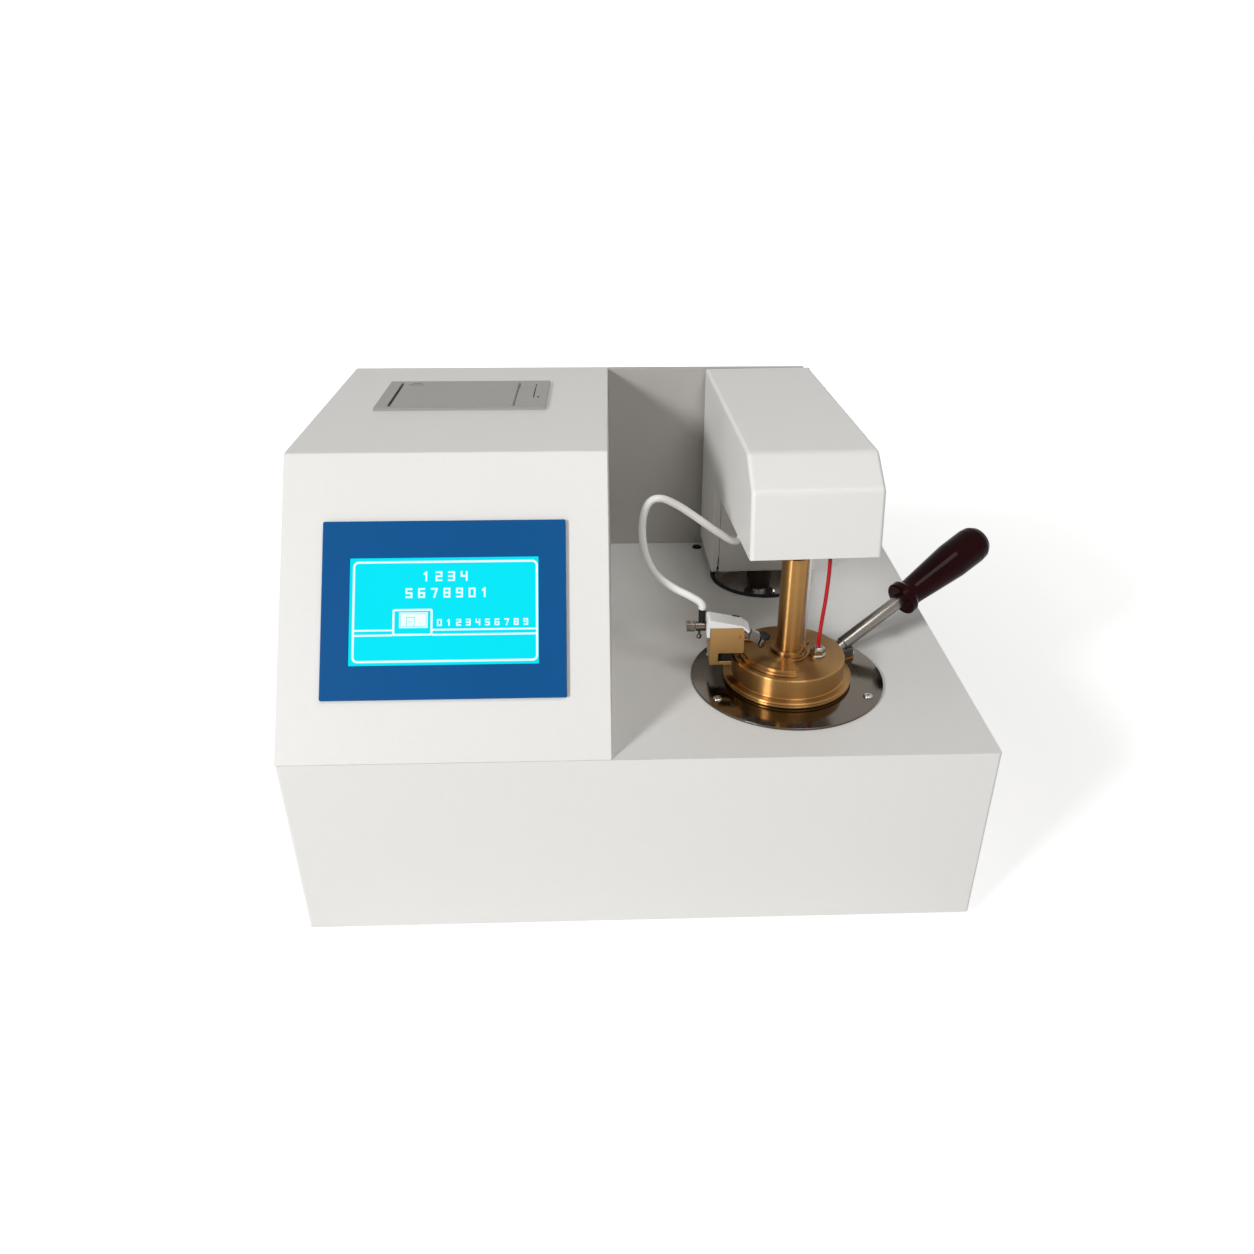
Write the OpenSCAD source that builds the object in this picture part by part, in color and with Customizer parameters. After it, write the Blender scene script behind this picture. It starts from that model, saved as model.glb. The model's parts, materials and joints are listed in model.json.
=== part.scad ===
// Closed-cup flash point tester: a sheet-metal case with a control tower on the left,
// a brass cup and lid over an electric stove on the right, and a lifting arm behind it.

/* [Case] */
// Width of the case, left to right
case_w = 404; // [390:1:430]
// Depth of the case, front to back
case_d = 300; // [296:1:320]
// Height of the case from its lower edge to the deck
base_h = 120.5; // [115:0.5:130]
// Height from the case's lower edge to the top of the tower and arm
total_h = 261.5; // [255:0.5:275]
// Height of the feet under the case
foot_h = 6; // [4:0.5:12]
// Width of the control tower
tower_w = 185; // [180:1:190]
// How far back the tower's top begins
tower_top_y = 108; // [100:1:115]
// Thickness of the painted steel sheet
sheet = 1.5; // [1:0.1:2]

/* [Stove and cup] */
// Stove centre from the case's left side
stove_x = 295; // [290:1:300]
// Stove centre from the case's front
stove_y = 85.5; // [80:0.5:90]
// Diameter of the stainless stove plate
stove_plate_d = 120; // [110:1:124]
// Inner diameter of the test cup
cup_bore_d = 50.8; // [50.7:0.1:51]
// Depth of the test cup inside
cup_depth = 56; // [55.8:0.1:56.2]
// Diameter of the cup's flange
cup_flange_d = 79.4; // [78:0.1:80]
// Compass angle of the cup's handle, from the case's right side
handle_turn = 29.5; // [20:0.5:40]
// Rise of the cup's handle above level
handle_rise = 22.5; // [20:0.5:32]
// Length of the cup's handle from the flange to its rounded end
handle_l = 134; // [110:1:140]

/* [Lid] */
// Diameter of the lid's drum
lid_d = 69.8; // [66:0.1:72]
// Diameter of the brass drive tube
drive_tube_d = 16; // [14:0.5:17]
// Turn of the shutter from closed to open
shutter_open = 55; // [50:1:58]
// Drop of the test flame lever from ready to dipped
torch_dip = 23; // [18:1:24]

/* [Arm] */
// Width of the lifting arm
arm_w = 78; // [74:1:82]
// Lift post centre from the case's left side
post_x = 298.5; // [296:0.5:301]
// Lift post centre from the case's front
post_y = 241; // [238:0.5:243]
// Swing of the arm about its post as it stands in use
arm_skew = 2.3; // [0:0.1:3]
// How far the arm lifts the lid off the cup
arm_lift = 110; // [90:5:115]

/* [Controls] */
// Width of the display's bezel
bezel_w = 136.5; // [130:0.5:140]
// Height of the display's bezel along the slanted front
bezel_h = 101.5; // [95:0.5:105]
// Width of the printer's frame
printer_w = 110.5; // [106:0.5:114]
// Depth of the printer's frame
printer_d = 66; // [64:0.5:70]

/* [Hidden] */
$fn = 64;

gap = 0.3;
running = 0.05;
deck_z = foot_h + base_h;
top_z = foot_h + total_h;
slope = atan(tower_top_y / (top_z - deck_z));
handle_root_r = 39.4;
handle_root_z = 8.3;
handle_rod_r = 3.8;
grip_end_r = 12.5;
spigot_out = 14;
right_end = stove_x + handle_root_r * cos(handle_turn) + grip_end_r
    + (handle_l - grip_end_r) * cos(handle_rise) * cos(handle_turn);
rear_end = case_d + spigot_out;

// Heights on the lid stack, above the deck
plate_t = 1.5;
flange_z = 3.1;
flange_t = 2.7;
lid_z = 6.1;
lid_top = 18;
lid_rim_r = 39.9;
lid_rim_t = 2.5;
drum_r = lid_d / 2;
lid_roof = 3.5;
sensor_at = [17.6, -3.5];
port_r = 20;
port_turn = 200;
port_d = 8;
rod_orbit_r = 16.5;
rod_turn = 47;
rod_d = 3;
collar_r = 11;
tube_top = 86.2;
tube_neck_r = 7.3;
crank_z = 87.2;
pulley_z = 90;
pulley_r = 6;
belt_reach = 40;
shutter_z = lid_top + gap;
shutter_step = 1.3;
shutter_t = 2.7;
torch_pivot = [250, 80, 23.5];

// Plan of the deck openings
grommet_at = [254, 287];
screw_turns = [30, 150, 210, 330];
screw_orbit_r = 53;
stove_hole_r = 50;
trim_y = 234;
trim_r = 36;
pan_depth = 13;
seam_inset = 5;

// Arm outline, front to back and up
arm_rear_y = 294;
arm_top_y = 104.7;
nose_y = 82;
nose_z = 251.3;
chin_y = 76;
chin_z = 212;
column_y = 226;
armpit_z = 200.5;
column_foot_z = deck_z + 7.5;

// Lift post, three pipes one in another
sleeve_bore_r = 6.5 + running;
stage_r = 6.5;
post_r = 4.7;
stage_bore_r = post_r + running;
sleeve_bottom_z = 11;
stage_top_z = 198;
post_top_z = 236;
tray_z = post_top_z - 10;
shutter_motor_at = [20, 68, 0];

// Printer, from the case's left front corner
printer_x = 34;
printer_y = 190.5;
printer_lip = 1.6;
door_x0 = printer_x + 10;
door_x1 = printer_x + 90;
door_margin = 5;
roll_r = 19;
roll_l = 55;
platen_r = 4.5;

// Rear panel
fan_at = [92, 196];
fan_size = 60;
inlet_at = [60, 46];
rocker_pin_r = 1.6;
gas_at = [262, 52];

// Route of the gas hose, from under the arm to the needle valve
hose_d = 4.6;
hose_route = [
    [270, 139, 212], [269.6, 138.6, 206], [268, 137, 199], [263, 134, 199], [252, 131, 207], [238, 126, 219],
    [227, 122, 228], [217, 118, 234], [210, 116, 233], [206, 113, 226], [205, 109, 215],
    [207, 105, 203], [213, 101, 192], [223, 97, 185], [233, 93, 181], [239, 91, 178],
    [241, 90, 175.5], [241, 90, 173.5]
];
// Route of the sensor's lead, from its nut up into the arm
lead_d = 2.4;
lead_route = [
    [312.6, 82, 149.6], [312.8, 82, 156], [313.6, 83, 168], [315, 84.6, 182],
    [316, 87, 196], [316.4, 89, 205], [316.4, 90, 215]
];

// Corner of three lines set in by t, for the outline's point b between a and c
function unit(v) = v / norm(v);
function inward(a, b) = [unit(b - a)[1], -unit(b - a)[0]];
function mitre(a, b, c, t) =
    let (n1 = inward(a, b), n2 = inward(b, c))
    b + t * (n1 + n2) / (1 + n1 * n2);
// Clockwise outline set in by t all round
function inset(p, t) = [
    for (i = [0 : len(p) - 1])
        mitre(p[(i + len(p) - 1) % len(p)], p[i], p[(i + 1) % len(p)], t)
];
function slope_y(z) = (z - deck_z) * tan(slope);

// The case's own frame, moved so that the part's origin is under its middle
module in_case() {
    translate([-right_end / 2, -rear_end / 2, 0]) children();
}

module at_stove() {
    in_case() translate([stove_x, stove_y, deck_z]) children();
}

// The arm's frame has its origin on the lift post and is swung with the arm
module in_arm() {
    in_case() translate([post_x, post_y, 0]) rotate([0, 0, arm_skew]) children();
}

// A frame on the slanted front: X along it, Y up it, Z out of it
module on_slope() {
    in_case() translate([0, 0, deck_z]) rotate([90 - slope, 0, 0]) children();
}

// Outline drawn as depth and height, given a width and centred on X
module across(width) {
    rotate([90, 0, 90]) linear_extrude(width, center = true) children();
}

module round_square(w, h, r) {
    translate([r, 0]) square([w - 2 * r, h]);
    translate([0, r]) square([w, h - 2 * r]);
    for (x = [r, w - r], y = [r, h - r]) translate([x, y]) circle(r);
}

module ring(r_out, r_in, h) {
    difference() {
        cylinder(h, r = r_out);
        translate([0, 0, -1]) cylinder(h + 2, r = r_in);
    }
}

module sector(r_out, r_in, from, to, h) {
    rotate([0, 0, from]) rotate_extrude(angle = to - from) translate([r_in, 0]) square([r_out - r_in, h]);
}

// Tube swept along a route of points, with one ring of corners at each
function tangent(p, i) = unit(p[min(i + 1, len(p) - 1)] - p[max(i - 1, 0)]);
function ring_at(c, t, r, sides) =
    let (side = unit(cross(t, [0.2, 1, 0.1])), up = cross(side, t))
    [for (k = [0 : sides - 1]) c + r * (cos(360 * k / sides) * side + sin(360 * k / sides) * up)];
module swept_tube(route, r, sides) {
    last = len(route) - 1;
    points = [for (i = [0 : last]) each ring_at(route[i], tangent(route, i), r, sides)];
    walls = [
        for (i = [0 : last - 1], k = [0 : sides - 1])
            let (a = i * sides + k, b = i * sides + (k + 1) % sides)
            each [[a, b, b + sides], [a, b + sides, a + sides]]
    ];
    start = [for (k = [1 : sides - 2]) [0, k + 1, k]];
    end = [for (k = [1 : sides - 2]) [last * sides, last * sides + k, last * sides + k + 1]];
    polyhedron(points, concat(walls, start, end), convexity = 4);
}

// Lower case: front, sides and deck in one bent and welded sheet, open below and behind
module base_cover() {
    color("gainsboro") in_case() difference() {
        translate([0, 0, foot_h]) linear_extrude(base_h) round_square(case_w, case_d + 4, 2);
        translate([sheet, sheet, foot_h - 1]) cube([case_w - 2 * sheet, case_d + 9, base_h - sheet + 1]);
        translate([-1, case_d, 0]) cube([case_w + 2, 9, top_z]);
        translate([12, 14, deck_z - 9]) cube([tower_w - 24, case_d - 30, 20]);
        translate([stove_x, stove_y, deck_z - 9]) cylinder(20, r = stove_hole_r);
        translate([post_x, trim_y, deck_z - 9]) cylinder(20, r = trim_r);
        translate([grommet_at[0], grommet_at[1], deck_z - 9]) cylinder(20, r = 2.8);
        translate([sheet, case_d - 2 * sheet, deck_z - 9]) cube([tower_w - 2 * sheet, 9, 20]);
        translate([stove_x, stove_y, deck_z - 9]) for (a = screw_turns) rotate([0, 0, a])
            translate([screw_orbit_r, 0, 0]) cylinder(20, r = 1.7);
    }
}

// Tower: slanted front, sides and top, open below and behind
module tower_cover() {
    outer = [[0, deck_z], [tower_top_y, top_z], [case_d, top_z], [case_d, deck_z]];
    hollow = inset([[-20, deck_z - 20 / tan(slope)], [tower_top_y, top_z], [case_d + 20, top_z],
        [case_d + 20, deck_z - 20 / tan(slope)]], sheet);
    color("gainsboro") difference() {
        in_case() translate([tower_w / 2, 0, 0]) difference() {
            across(tower_w) polygon(outer);
            across(tower_w - 2 * sheet) polygon(hollow);
        }
        on_slope() translate([32, 44, -9]) cube([120, 84, 20]);
        in_case() translate([printer_x + 3, printer_y + 3, top_z - 9])
            cube([printer_w - 6, printer_d - 6, 20]);
    }
}

// Upright sheet behind the deck, from the tower to the back of the arm
module rear_wall() {
    color("darkgray") in_case() {
        translate([tower_w, case_d - 4, deck_z]) cube([146, 2, total_h - base_h]);
        translate([tower_w, case_d - 2, top_z - 2]) cube([146, 2, 2]);
        translate([tower_w, case_d - 2, deck_z]) cube([146, 2, 8]);
    }
}

// Back of the case, with its cut-outs and louvres
module rear_panel() {
    panel_y = case_d - sheet;
    color("gainsboro") in_case() difference() {
        union() {
            translate([sheet, panel_y - sheet, foot_h + sheet])
                cube([case_w - 2 * sheet, sheet, base_h - 2 * sheet]);
            translate([sheet, panel_y - sheet, deck_z - sheet])
                cube([tower_w - 2 * sheet, sheet, total_h - base_h]);
        }
        translate([fan_at[0], case_d + 1, fan_at[1]]) rotate([90, 0, 0]) cylinder(20, r = 27);
        translate([inlet_at[0] - 13.5, panel_y - 9, inlet_at[1] - 24]) cube([27, 20, 48]);
        translate([gas_at[0], case_d + 1, gas_at[1]]) rotate([90, 0, 0]) cylinder(20, r = 5);
        for (i = [0 : 6]) translate([fan_at[0] - 35, panel_y - 9, deck_z + 8 + 3.6 * i])
            cube([70, 20, 1.8]);
        for (i = [0 : 9]) translate([stove_x - 5, panel_y - 9, 24 + 7 * i]) cube([70, 20, 3]);
    }
}

// Bottom tray, with its bent-up edges and the slots that let air in
module floor_plate() {
    inner_w = case_w - 2 * sheet - 2 * gap;
    inner_d = case_d - 3 * sheet - 2 * gap;
    color("silver") in_case() translate([sheet + gap, sheet + gap, foot_h]) difference() {
        cube([inner_w, inner_d, 12]);
        translate([sheet, sheet, sheet]) cube([inner_w - 2 * sheet, inner_d - 2 * sheet, 20]);
        for (i = [0 : 11]) translate([226 + 11 * i, 38, -5]) cube([4, 84, 20]);
    }
}

module feet() {
    color("dimgray") in_case() for (x = [28, case_w - 28], y = [28, case_d - 28])
        translate([x, y, 0]) cylinder(foot_h, r1 = 9, r2 = 11);
}

// Black rubber plug in the deck beside the arm
module deck_grommet() {
    color("dimgray") in_case() translate([grommet_at[0], grommet_at[1], deck_z - 4]) {
        cylinder(4, r = 2.7);
        translate([0, 0, 4]) rotate_extrude() polygon([
            [0, 0], [3.7, 0], [3.7, 0.5], [3.1, 1.1], [2.1, 1.1], [1.8, 0.5], [0, 0.5]
        ]);
    }
}

// Blue frame round the touch screen, with its stepped window
module display_bezel() {
    color("royalblue") on_slope() translate([24, 35.3, 0]) difference() {
        linear_extrude(2.2) round_square(bezel_w, bezel_h, 1);
        translate([15.5, 19.2, -1]) cube([105.5, 61, 9]);
        translate([14.5, 18.2, -1]) cube([107.5, 63, 2]);
    }
}

module touch_glass() {
    color("cyan") on_slope() translate([24 + 14.8, 35.3 + 18.5, 0]) cube([106.9, 62.4, 0.9]);
}

// Screen and its electronics, in a ribbed box behind the slanted front
module display_module() {
    color("dimgray") on_slope() translate([34, 46, -26]) {
        cube([116, 80, 26]);
        translate([-4, -4, 26 - sheet - 2]) cube([124, 88, 2]);
        for (i = [0 : 8]) translate([8 + 12 * i, 6, -2]) cube([3, 68, 2]);
    }
}

// Printer's flange and paper bucket, sunk in the top of the tower
module printer_frame() {
    color("darkgray") in_case() translate([printer_x, printer_y, top_z]) difference() {
        union() {
            cube([printer_w, printer_d, printer_lip]);
            translate([4, 4, -47]) cube([printer_w - 8, printer_d - 8, 47]);
        }
        translate([5.2, 5.2, -45.8]) cube([printer_w - 25.2, printer_d - 10.4, 44]);
        translate([8, door_margin - gap, -2.5])
            cube([door_x1 - printer_x - 8 + gap, printer_d - 2 * door_margin + 2 * gap, 9]);
        translate([printer_w - 20, 47, -5]) cube([11.4, 9.9, 9]);
    }
}

// Printer's lid, hinged along its right edge, with the platen's ears below its left edge
module printer_door() {
    y0 = printer_y + door_margin;
    d = printer_d - 2 * door_margin;
    color("darkgray") in_case() {
        difference() {
            translate([door_x0, y0, top_z - 0.9]) cube([door_x1 - door_x0 - 1.8, d, 2.5]);
            translate([door_x0 + 3.5, y0 + d - 5.5, top_z - 9]) cube([11, 2.5, 20]);
        }
        translate([door_x1 - 1.8, y0 + 0.4, top_z]) rotate([-90, 0, 0]) cylinder(d - 0.8, r = 1.6);
        for (y = [y0 + 0.5, y0 + d - 3]) difference() {
            translate([door_x0 + 1, y, top_z - 12]) cube([11, 2.5, 11.5]);
            translate([door_x0 + 6.5, y - 1, top_z - 7]) rotate([-90, 0, 0]) cylinder(9, r = 1.5 + running);
        }
    }
}

module platen_roller() {
    y0 = printer_y + door_margin;
    d = printer_d - 2 * door_margin;
    color("dimgray") in_case() translate([door_x0 + 6.5, y0, top_z - 7]) rotate([-90, 0, 0]) {
        translate([0, 0, 0.7]) cylinder(d - 1.4, r = 1.5);
        translate([0, 0, 3.4]) cylinder(d - 6.8, r = platen_r);
    }
}

module paper_roll() {
    color("white") in_case() translate([printer_x + 48, printer_y + printer_d / 2, top_z - 26.6])
        rotate([90, 0, 0]) translate([0, 0, -roll_l / 2]) ring(roll_r, 6, roll_l);
}

module feed_button() {
    color("darkgray") in_case() translate([printer_x + printer_w - 19.6, printer_y + 47.4, top_z - 2.6])
        cube([10.6, 9.1, 4.6]);
}

// Mains inlet with three blades, a fuse drawer and the switch's frame, in one moulding
module power_inlet() {
    color("dimgray") in_case() translate([inlet_at[0], case_d - sheet, inlet_at[1]])
        rotate([90, 0, 0]) mirror([0, 0, 1]) difference() {
            union() {
                translate([-15.5, -30, 0]) linear_extrude(2.5) round_square(31, 60, 3);
                translate([-13.3, -23.8, -24]) cube([26.6, 47.6, 24]);
            }
            difference() {
                translate([0, -11, -14]) linear_extrude(20)
                    polygon([[-12, -8], [12, -8], [12, 3], [8, 8], [-8, 8], [-12, 3]]);
                for (x = [-7, 0, 7]) translate([x - 1, x == 0 ? -9 : -13, -14]) cube([2, 4, 8]);
            }
            translate([-10, 3, -10]) cube([20, 18, 20]);
            translate([-11.4, 12, sheet - 3]) rotate([0, 90, 0]) cylinder(22.8, r = rocker_pin_r + 0.05);
        }
}

// Rocker of the mains switch, resting on one side
module power_switch() {
    rock = 10;
    color("firebrick") in_case() translate([inlet_at[0], case_d - 3, inlet_at[1] + 12]) {
        rotate([rock, 0, 0]) rotate([90, 0, 90]) linear_extrude(18.6, center = true)
            polygon([[-5, -5.5], [2.5, -8], [4.5, -8], [2.8, 0], [4.5, 8], [2.5, 8], [-5, 5.5]]);
        rotate([0, 90, 0]) cylinder(22, r = rocker_pin_r, center = true);
    }
}

module cooling_fan_frame() {
    half = fan_size / 2;
    color("dimgray") in_case() translate([fan_at[0], case_d - 3 * sheet - 25, fan_at[1]])
        rotate([-90, 0, 0]) difference() {
            union() {
                difference() {
                    translate([-half, -half, 0]) cube([fan_size, fan_size, 25 + sheet]);
                    translate([0, 0, -1]) cylinder(40, r = half - 2);
                }
                cylinder(3, r = 13);
                for (a = [0 : 120 : 240]) rotate([0, 0, a]) translate([0, -2, 0]) cube([half - 1, 4, 3]);
            }
            for (x = [-25, 25], y = [-25, 25]) translate([x, y, -1]) cylinder(40, r = 2.2);
        }
}

// Hub with seven pitched blades
module cooling_fan_rotor() {
    color("gray") in_case() translate([fan_at[0], case_d - 3 * sheet - 25, fan_at[1]])
        rotate([-90, 0, 0]) translate([0, 0, 3.5]) {
            cylinder(19, r = 12);
            for (a = [0 : 360 / 7 : 359]) rotate([0, 0, a]) translate([19, 0, 9.5]) rotate([35, 0, 0])
                cube([15, 1.6, 20], center = true);
        }
}

// Wire guard over the fan: rings on two crossed bars
module fan_guard() {
    color("silver") in_case() translate([fan_at[0], case_d - sheet, fan_at[1]]) rotate([-90, 0, 0]) {
        for (r = [8 : 6 : 26]) ring(r + 0.8, r - 0.8, 1.6);
        for (a = [45, 135]) rotate([0, 0, a]) translate([-36, -1, 0]) cube([72, 2, 1.6]);
    }
}

// Bulkhead spigot for the gas supply
module gas_inlet() {
    color("goldenrod") in_case() translate([gas_at[0], case_d - sheet, gas_at[1]]) rotate([-90, 0, 0])
        difference() {
            union() {
                cylinder(2.5, r = 8, $fn = 6);
                cylinder(sheet + spigot_out, r = 4);
                translate([0, 0, -14]) cylinder(14.5, r = 4.8);
                translate([0, 0, -6]) cylinder(4, r = 8, $fn = 6);
            }
            translate([0, 0, -15]) cylinder(60, r = 2.2);
        }
}

module control_board() {
    color("seagreen") in_case() translate([14, 150, deck_z + 4]) {
        cube([1.6, 130, 76]);
        for (y = [8, 122], z = [8, 68]) translate([sheet - 14, y, z]) rotate([0, 90, 0]) cylinder(13, r = 3);
        for (i = [0 : 4]) translate([1.6, 12 + 23 * i, 10]) cube([5, 14, 12]);
        for (i = [0 : 2]) translate([1.6, 20 + 34 * i, 40]) cube([3, 22, 22]);
        for (i = [0 : 3]) translate([7.6, 22 + 26 * i, 68]) cylinder(6, r = 4);
        for (i = [0 : 3]) translate([1.6, 18 + 26 * i, 66]) cube([10, 8, 2]);
    }
}

module power_supply() {
    color("silver") in_case() translate([20, 120, foot_h + sheet]) difference() {
        cube([100, 130, 42]);
        for (i = [0 : 9]) translate([10 + 8.4 * i, 20, 36]) cube([4, 90, 9]);
    }
}

// Mirror-bright plate round the cup
module stove_plate() {
    color("silver") at_stove() difference() {
        cylinder(plate_t, r = stove_plate_d / 2);
        translate([0, 0, -1]) cylinder(9, r = 30);
        for (a = screw_turns) rotate([0, 0, a]) translate([screw_orbit_r, 0, -1]) cylinder(9, r = 1.7);
    }
}

module stove_screws() {
    color("silver") at_stove() for (a = screw_turns) rotate([0, 0, a])
        translate([screw_orbit_r, 0, plate_t]) {
            translate([0, 0, -6]) cylinder(6, r = 1.6);
            difference() {
                cylinder(1.2, r1 = 2.9, r2 = 2.3);
                translate([0, 0, 0.5]) cylinder(4, r = 1.2, $fn = 6);
            }
        }
}

// Cast air bath round the cup, with its heating element's groove
module heater_block() {
    color("dimgray") at_stove() difference() {
        translate([0, 0, -66]) cylinder(66, r = 44);
        translate([0, 0, -60]) cylinder(80, r = 31);
        for (z = [-54 : 12 : -18]) translate([0, 0, z]) ring(50, 41, 6);
    }
}

module stove_can() {
    color("silver") at_stove() difference() {
        translate([0, 0, -76]) cylinder(76, r = 49.5);
        translate([0, 0, -75]) cylinder(90, r = 48.7);
        for (a = [0 : 30 : 330]) rotate([0, 0, a]) translate([47, -2, -70]) cube([9, 4, 14]);
    }
}

// Insulating ring that carries the cup's flange off the plate
module spacer_ring() {
    color("peru") at_stove() translate([0, 0, plate_t]) ring(37, 31, flange_z - plate_t - gap);
}

// Black rubber edging that grips the edge of the deck opening
module opening_trim() {
    color("dimgray") in_case() translate([post_x, trim_y, deck_z]) rotate_extrude()
        translate([trim_r - 2.6, 0]) difference() {
            union() {
                translate([0, -3.4]) square([4.8, 4.2]);
                translate([2.4, 0.8]) circle(2.4);
            }
            translate([2.6, -sheet]) square([9, sheet]);
        }
}

// Stainless pan below the opening
module lift_pan() {
    pan_r = trim_r + 3;
    rim_z = pan_depth - sheet;
    color("silver") in_case() translate([post_x, trim_y, deck_z - pan_depth]) difference() {
        union() {
            translate([0, 0, -1]) cylinder(rim_z + 1, r = pan_r + 1.2);
            translate([0, 0, rim_z - 1.2]) cylinder(1.2, r = pan_r + 8);
        }
        cylinder(40, r = pan_r);
        translate([0, post_y - trim_y, -9]) cylinder(40, r = 12);
    }
}

// Fixed outer pipe of the lift, bolted to the floor
module lift_sleeve() {
    color("silver") in_case() translate([post_x, post_y, 0]) difference() {
        union() {
            translate([0, 0, sleeve_bottom_z]) cylinder(deck_z - pan_depth - sleeve_bottom_z - 2, r = 11.5);
            translate([0, 0, foot_h + sheet]) cylinder(4, r = 24);
            for (a = [45 : 90 : 315]) rotate([0, 0, a]) translate([10, -1.5, foot_h + 5]) cube([12, 3, 22]);
        }
        translate([0, 0, sleeve_bottom_z]) cylinder(200, r = sleeve_bore_r);
    }
}

// Geared motor that drives the lift, beside the sleeve
module lift_motor() {
    color("dimgray") in_case() translate([post_x - 48, post_y + 10, foot_h + sheet]) {
        cylinder(48, r = 17);
        translate([0, 0, 48]) cylinder(16, r = 14);
        translate([0, 0, 64]) cylinder(9, r = 3);
        translate([-20, -20, 0]) cube([40, 40, 3]);
    }
}

// Middle pipe, which rises half as far as the arm
module lift_stage() {
    color("silver") in_case() translate([post_x, post_y, sleeve_bottom_z + 1]) difference() {
        cylinder(stage_top_z - sleeve_bottom_z - 1, r = stage_r);
        translate([0, 0, 2]) cylinder(400, r = stage_bore_r);
    }
}

module lift_post() {
    color("silver") in_case() translate([post_x, post_y, sleeve_bottom_z + 4])
        cylinder(post_top_z - sleeve_bottom_z - 4, r = post_r);
}

// Bracket in the arm that ties the post to the arm's sides, with the tray that carries the motors
module lift_carrier() {
    side = arm_w - 2 * sheet;
    color("silver") difference() {
        in_arm() {
            translate([-side / 2, -159.8, tray_z]) cube([side, 195.8, 3]);
            translate([-side / 2, -10, tray_z + 3]) cube([2, 46, 16]);
            translate([side / 2 - 2, -10, tray_z + 3]) cube([2, 46, 16]);
            translate([0, 0, post_top_z - 24]) cylinder(24, r = 9);
        }
        in_case() translate([post_x, post_y, post_top_z - 60]) cylinder(60, r = post_r);
        at_stove() {
            cylinder(200, r = 2 + running);
            translate([0, belt_reach, 0]) cylinder(200, r = 4);
            translate(shutter_motor_at) cylinder(200, r = 3.5);
        }
    }
}

// Tapered rubber boot round the post, under the column
module post_boot() {
    color("dimgray") in_arm() rotate_extrude() polygon([
        [7.2, deck_z - 11.5], [8.1, deck_z - 11.5], [10.4, deck_z + 6], [10.4, column_foot_z + 2],
        [12.2, column_foot_z + 2], [12.2, column_foot_z + 4], [7.2, column_foot_z + 4]
    ]);
}

// Outline of the arm from the side: top, nose, chin, underside and column
function arm_outline(drop) = [
    [column_y - drop, column_foot_z - drop], [column_y - drop, armpit_z - drop],
    [chin_y, chin_z - drop], [nose_y, nose_z], [arm_top_y, top_z],
    [arm_rear_y, top_z], [arm_rear_y, column_foot_z - drop]
];

// Arm and column in one bent cover, open underneath and in front of the column
module arm_cover() {
    high = armpit_z - column_foot_z - 12;
    color("gainsboro") in_arm() translate([0, -post_y, 0]) {
        difference() {
            across(arm_w) polygon(arm_outline(0));
            across(arm_w - 2 * sheet) polygon(inset(arm_outline(3), sheet));
        }
        for (side = [-1, 1]) translate([side * (arm_w / 2 - seam_inset / 2), column_y + sheet / 2, armpit_z - high / 2])
            cube([seam_inset, sheet, high], center = true);
    }
}

// Sheet that closes the arm's underside, with the openings for tube, rod, lead and hose
module arm_bottom_plate() {
    tilt = atan((chin_z - armpit_z) / (column_y - chin_y));
    side = arm_w - 2 * sheet - 0.2;
    color("gainsboro") difference() {
        in_arm() translate([-side / 2, chin_y - post_y + 2.4, chin_z]) rotate([-tilt, 0, 0])
            cube([side, column_y - chin_y - 2.4, 1.2]);
        at_stove() translate([0, 0, tube_top - 9]) {
            cylinder(18, r = tube_neck_r);
            sector(rod_orbit_r + 1.9, rod_orbit_r - 1.9, rod_turn - 7, rod_turn + shutter_open + 7, 18);
        }
        in_case() translate([316.4, 89.5, 190]) cylinder(30, r = 1.8);
        in_case() translate([269.7, 138.7, 190]) cylinder(30, r = 3);
    }
}

// Front of the column, flush between the folded lips of the arm's sides
module column_plate() {
    face_w = arm_w - 2 * seam_inset - 0.6;
    shelf_w = arm_w - 2 * sheet - 2;
    color("gainsboro") in_arm() {
        translate([-face_w / 2, column_y - post_y, column_foot_z])
            cube([face_w, sheet, armpit_z - column_foot_z - 0.5]);
        difference() {
            translate([-shelf_w / 2, column_y - post_y + sheet, column_foot_z + 4])
                cube([shelf_w, 50, sheet]);
            cylinder(300, r = 7.4);
        }
    }
}

// Motor that drives the stirrer through a belt, behind the tube
module stirrer_motor() {
    color("dimgray") in_case() translate([stove_x, stove_y + belt_reach, tray_z + 3]) difference() {
        union() {
            cylinder(26, r = 14);
            translate([-20, -6, 0]) cube([40, 12, 2]);
        }
        translate([0, 0, -1]) cylinder(9, r = 2.5 + running);
    }
}

// Belt pulley with its groove halfway up
module pulley() {
    r = pulley_r;
    floor_r = r - 1.6;
    rotate_extrude() polygon([
        [0, 0], [r, 0], [r, 1.2], [floor_r, 2.4], [floor_r, 3.6], [r, 4.8], [r, 6], [0, 6]
    ]);
}

module motor_pulley() {
    color("silver") at_stove() translate([0, belt_reach, pulley_z]) {
        pulley();
        cylinder(18, r = 2.5);
    }
}

// Round belt from the motor's pulley to the stirrer's
module stirrer_belt() {
    thick = 0.9;
    high = 0.8;
    r = pulley_r - 1.6 + gap;
    color("dimgray") at_stove() translate([0, 0, pulley_z + 2.6]) {
        sector(r + thick, r, 180, 360, high);
        translate([0, belt_reach, 0]) sector(r + thick, r, 0, 180, high);
        for (x = [-r - thick, r]) translate([x, 0, 0]) cube([thick, belt_reach, high]);
    }
}

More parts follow.
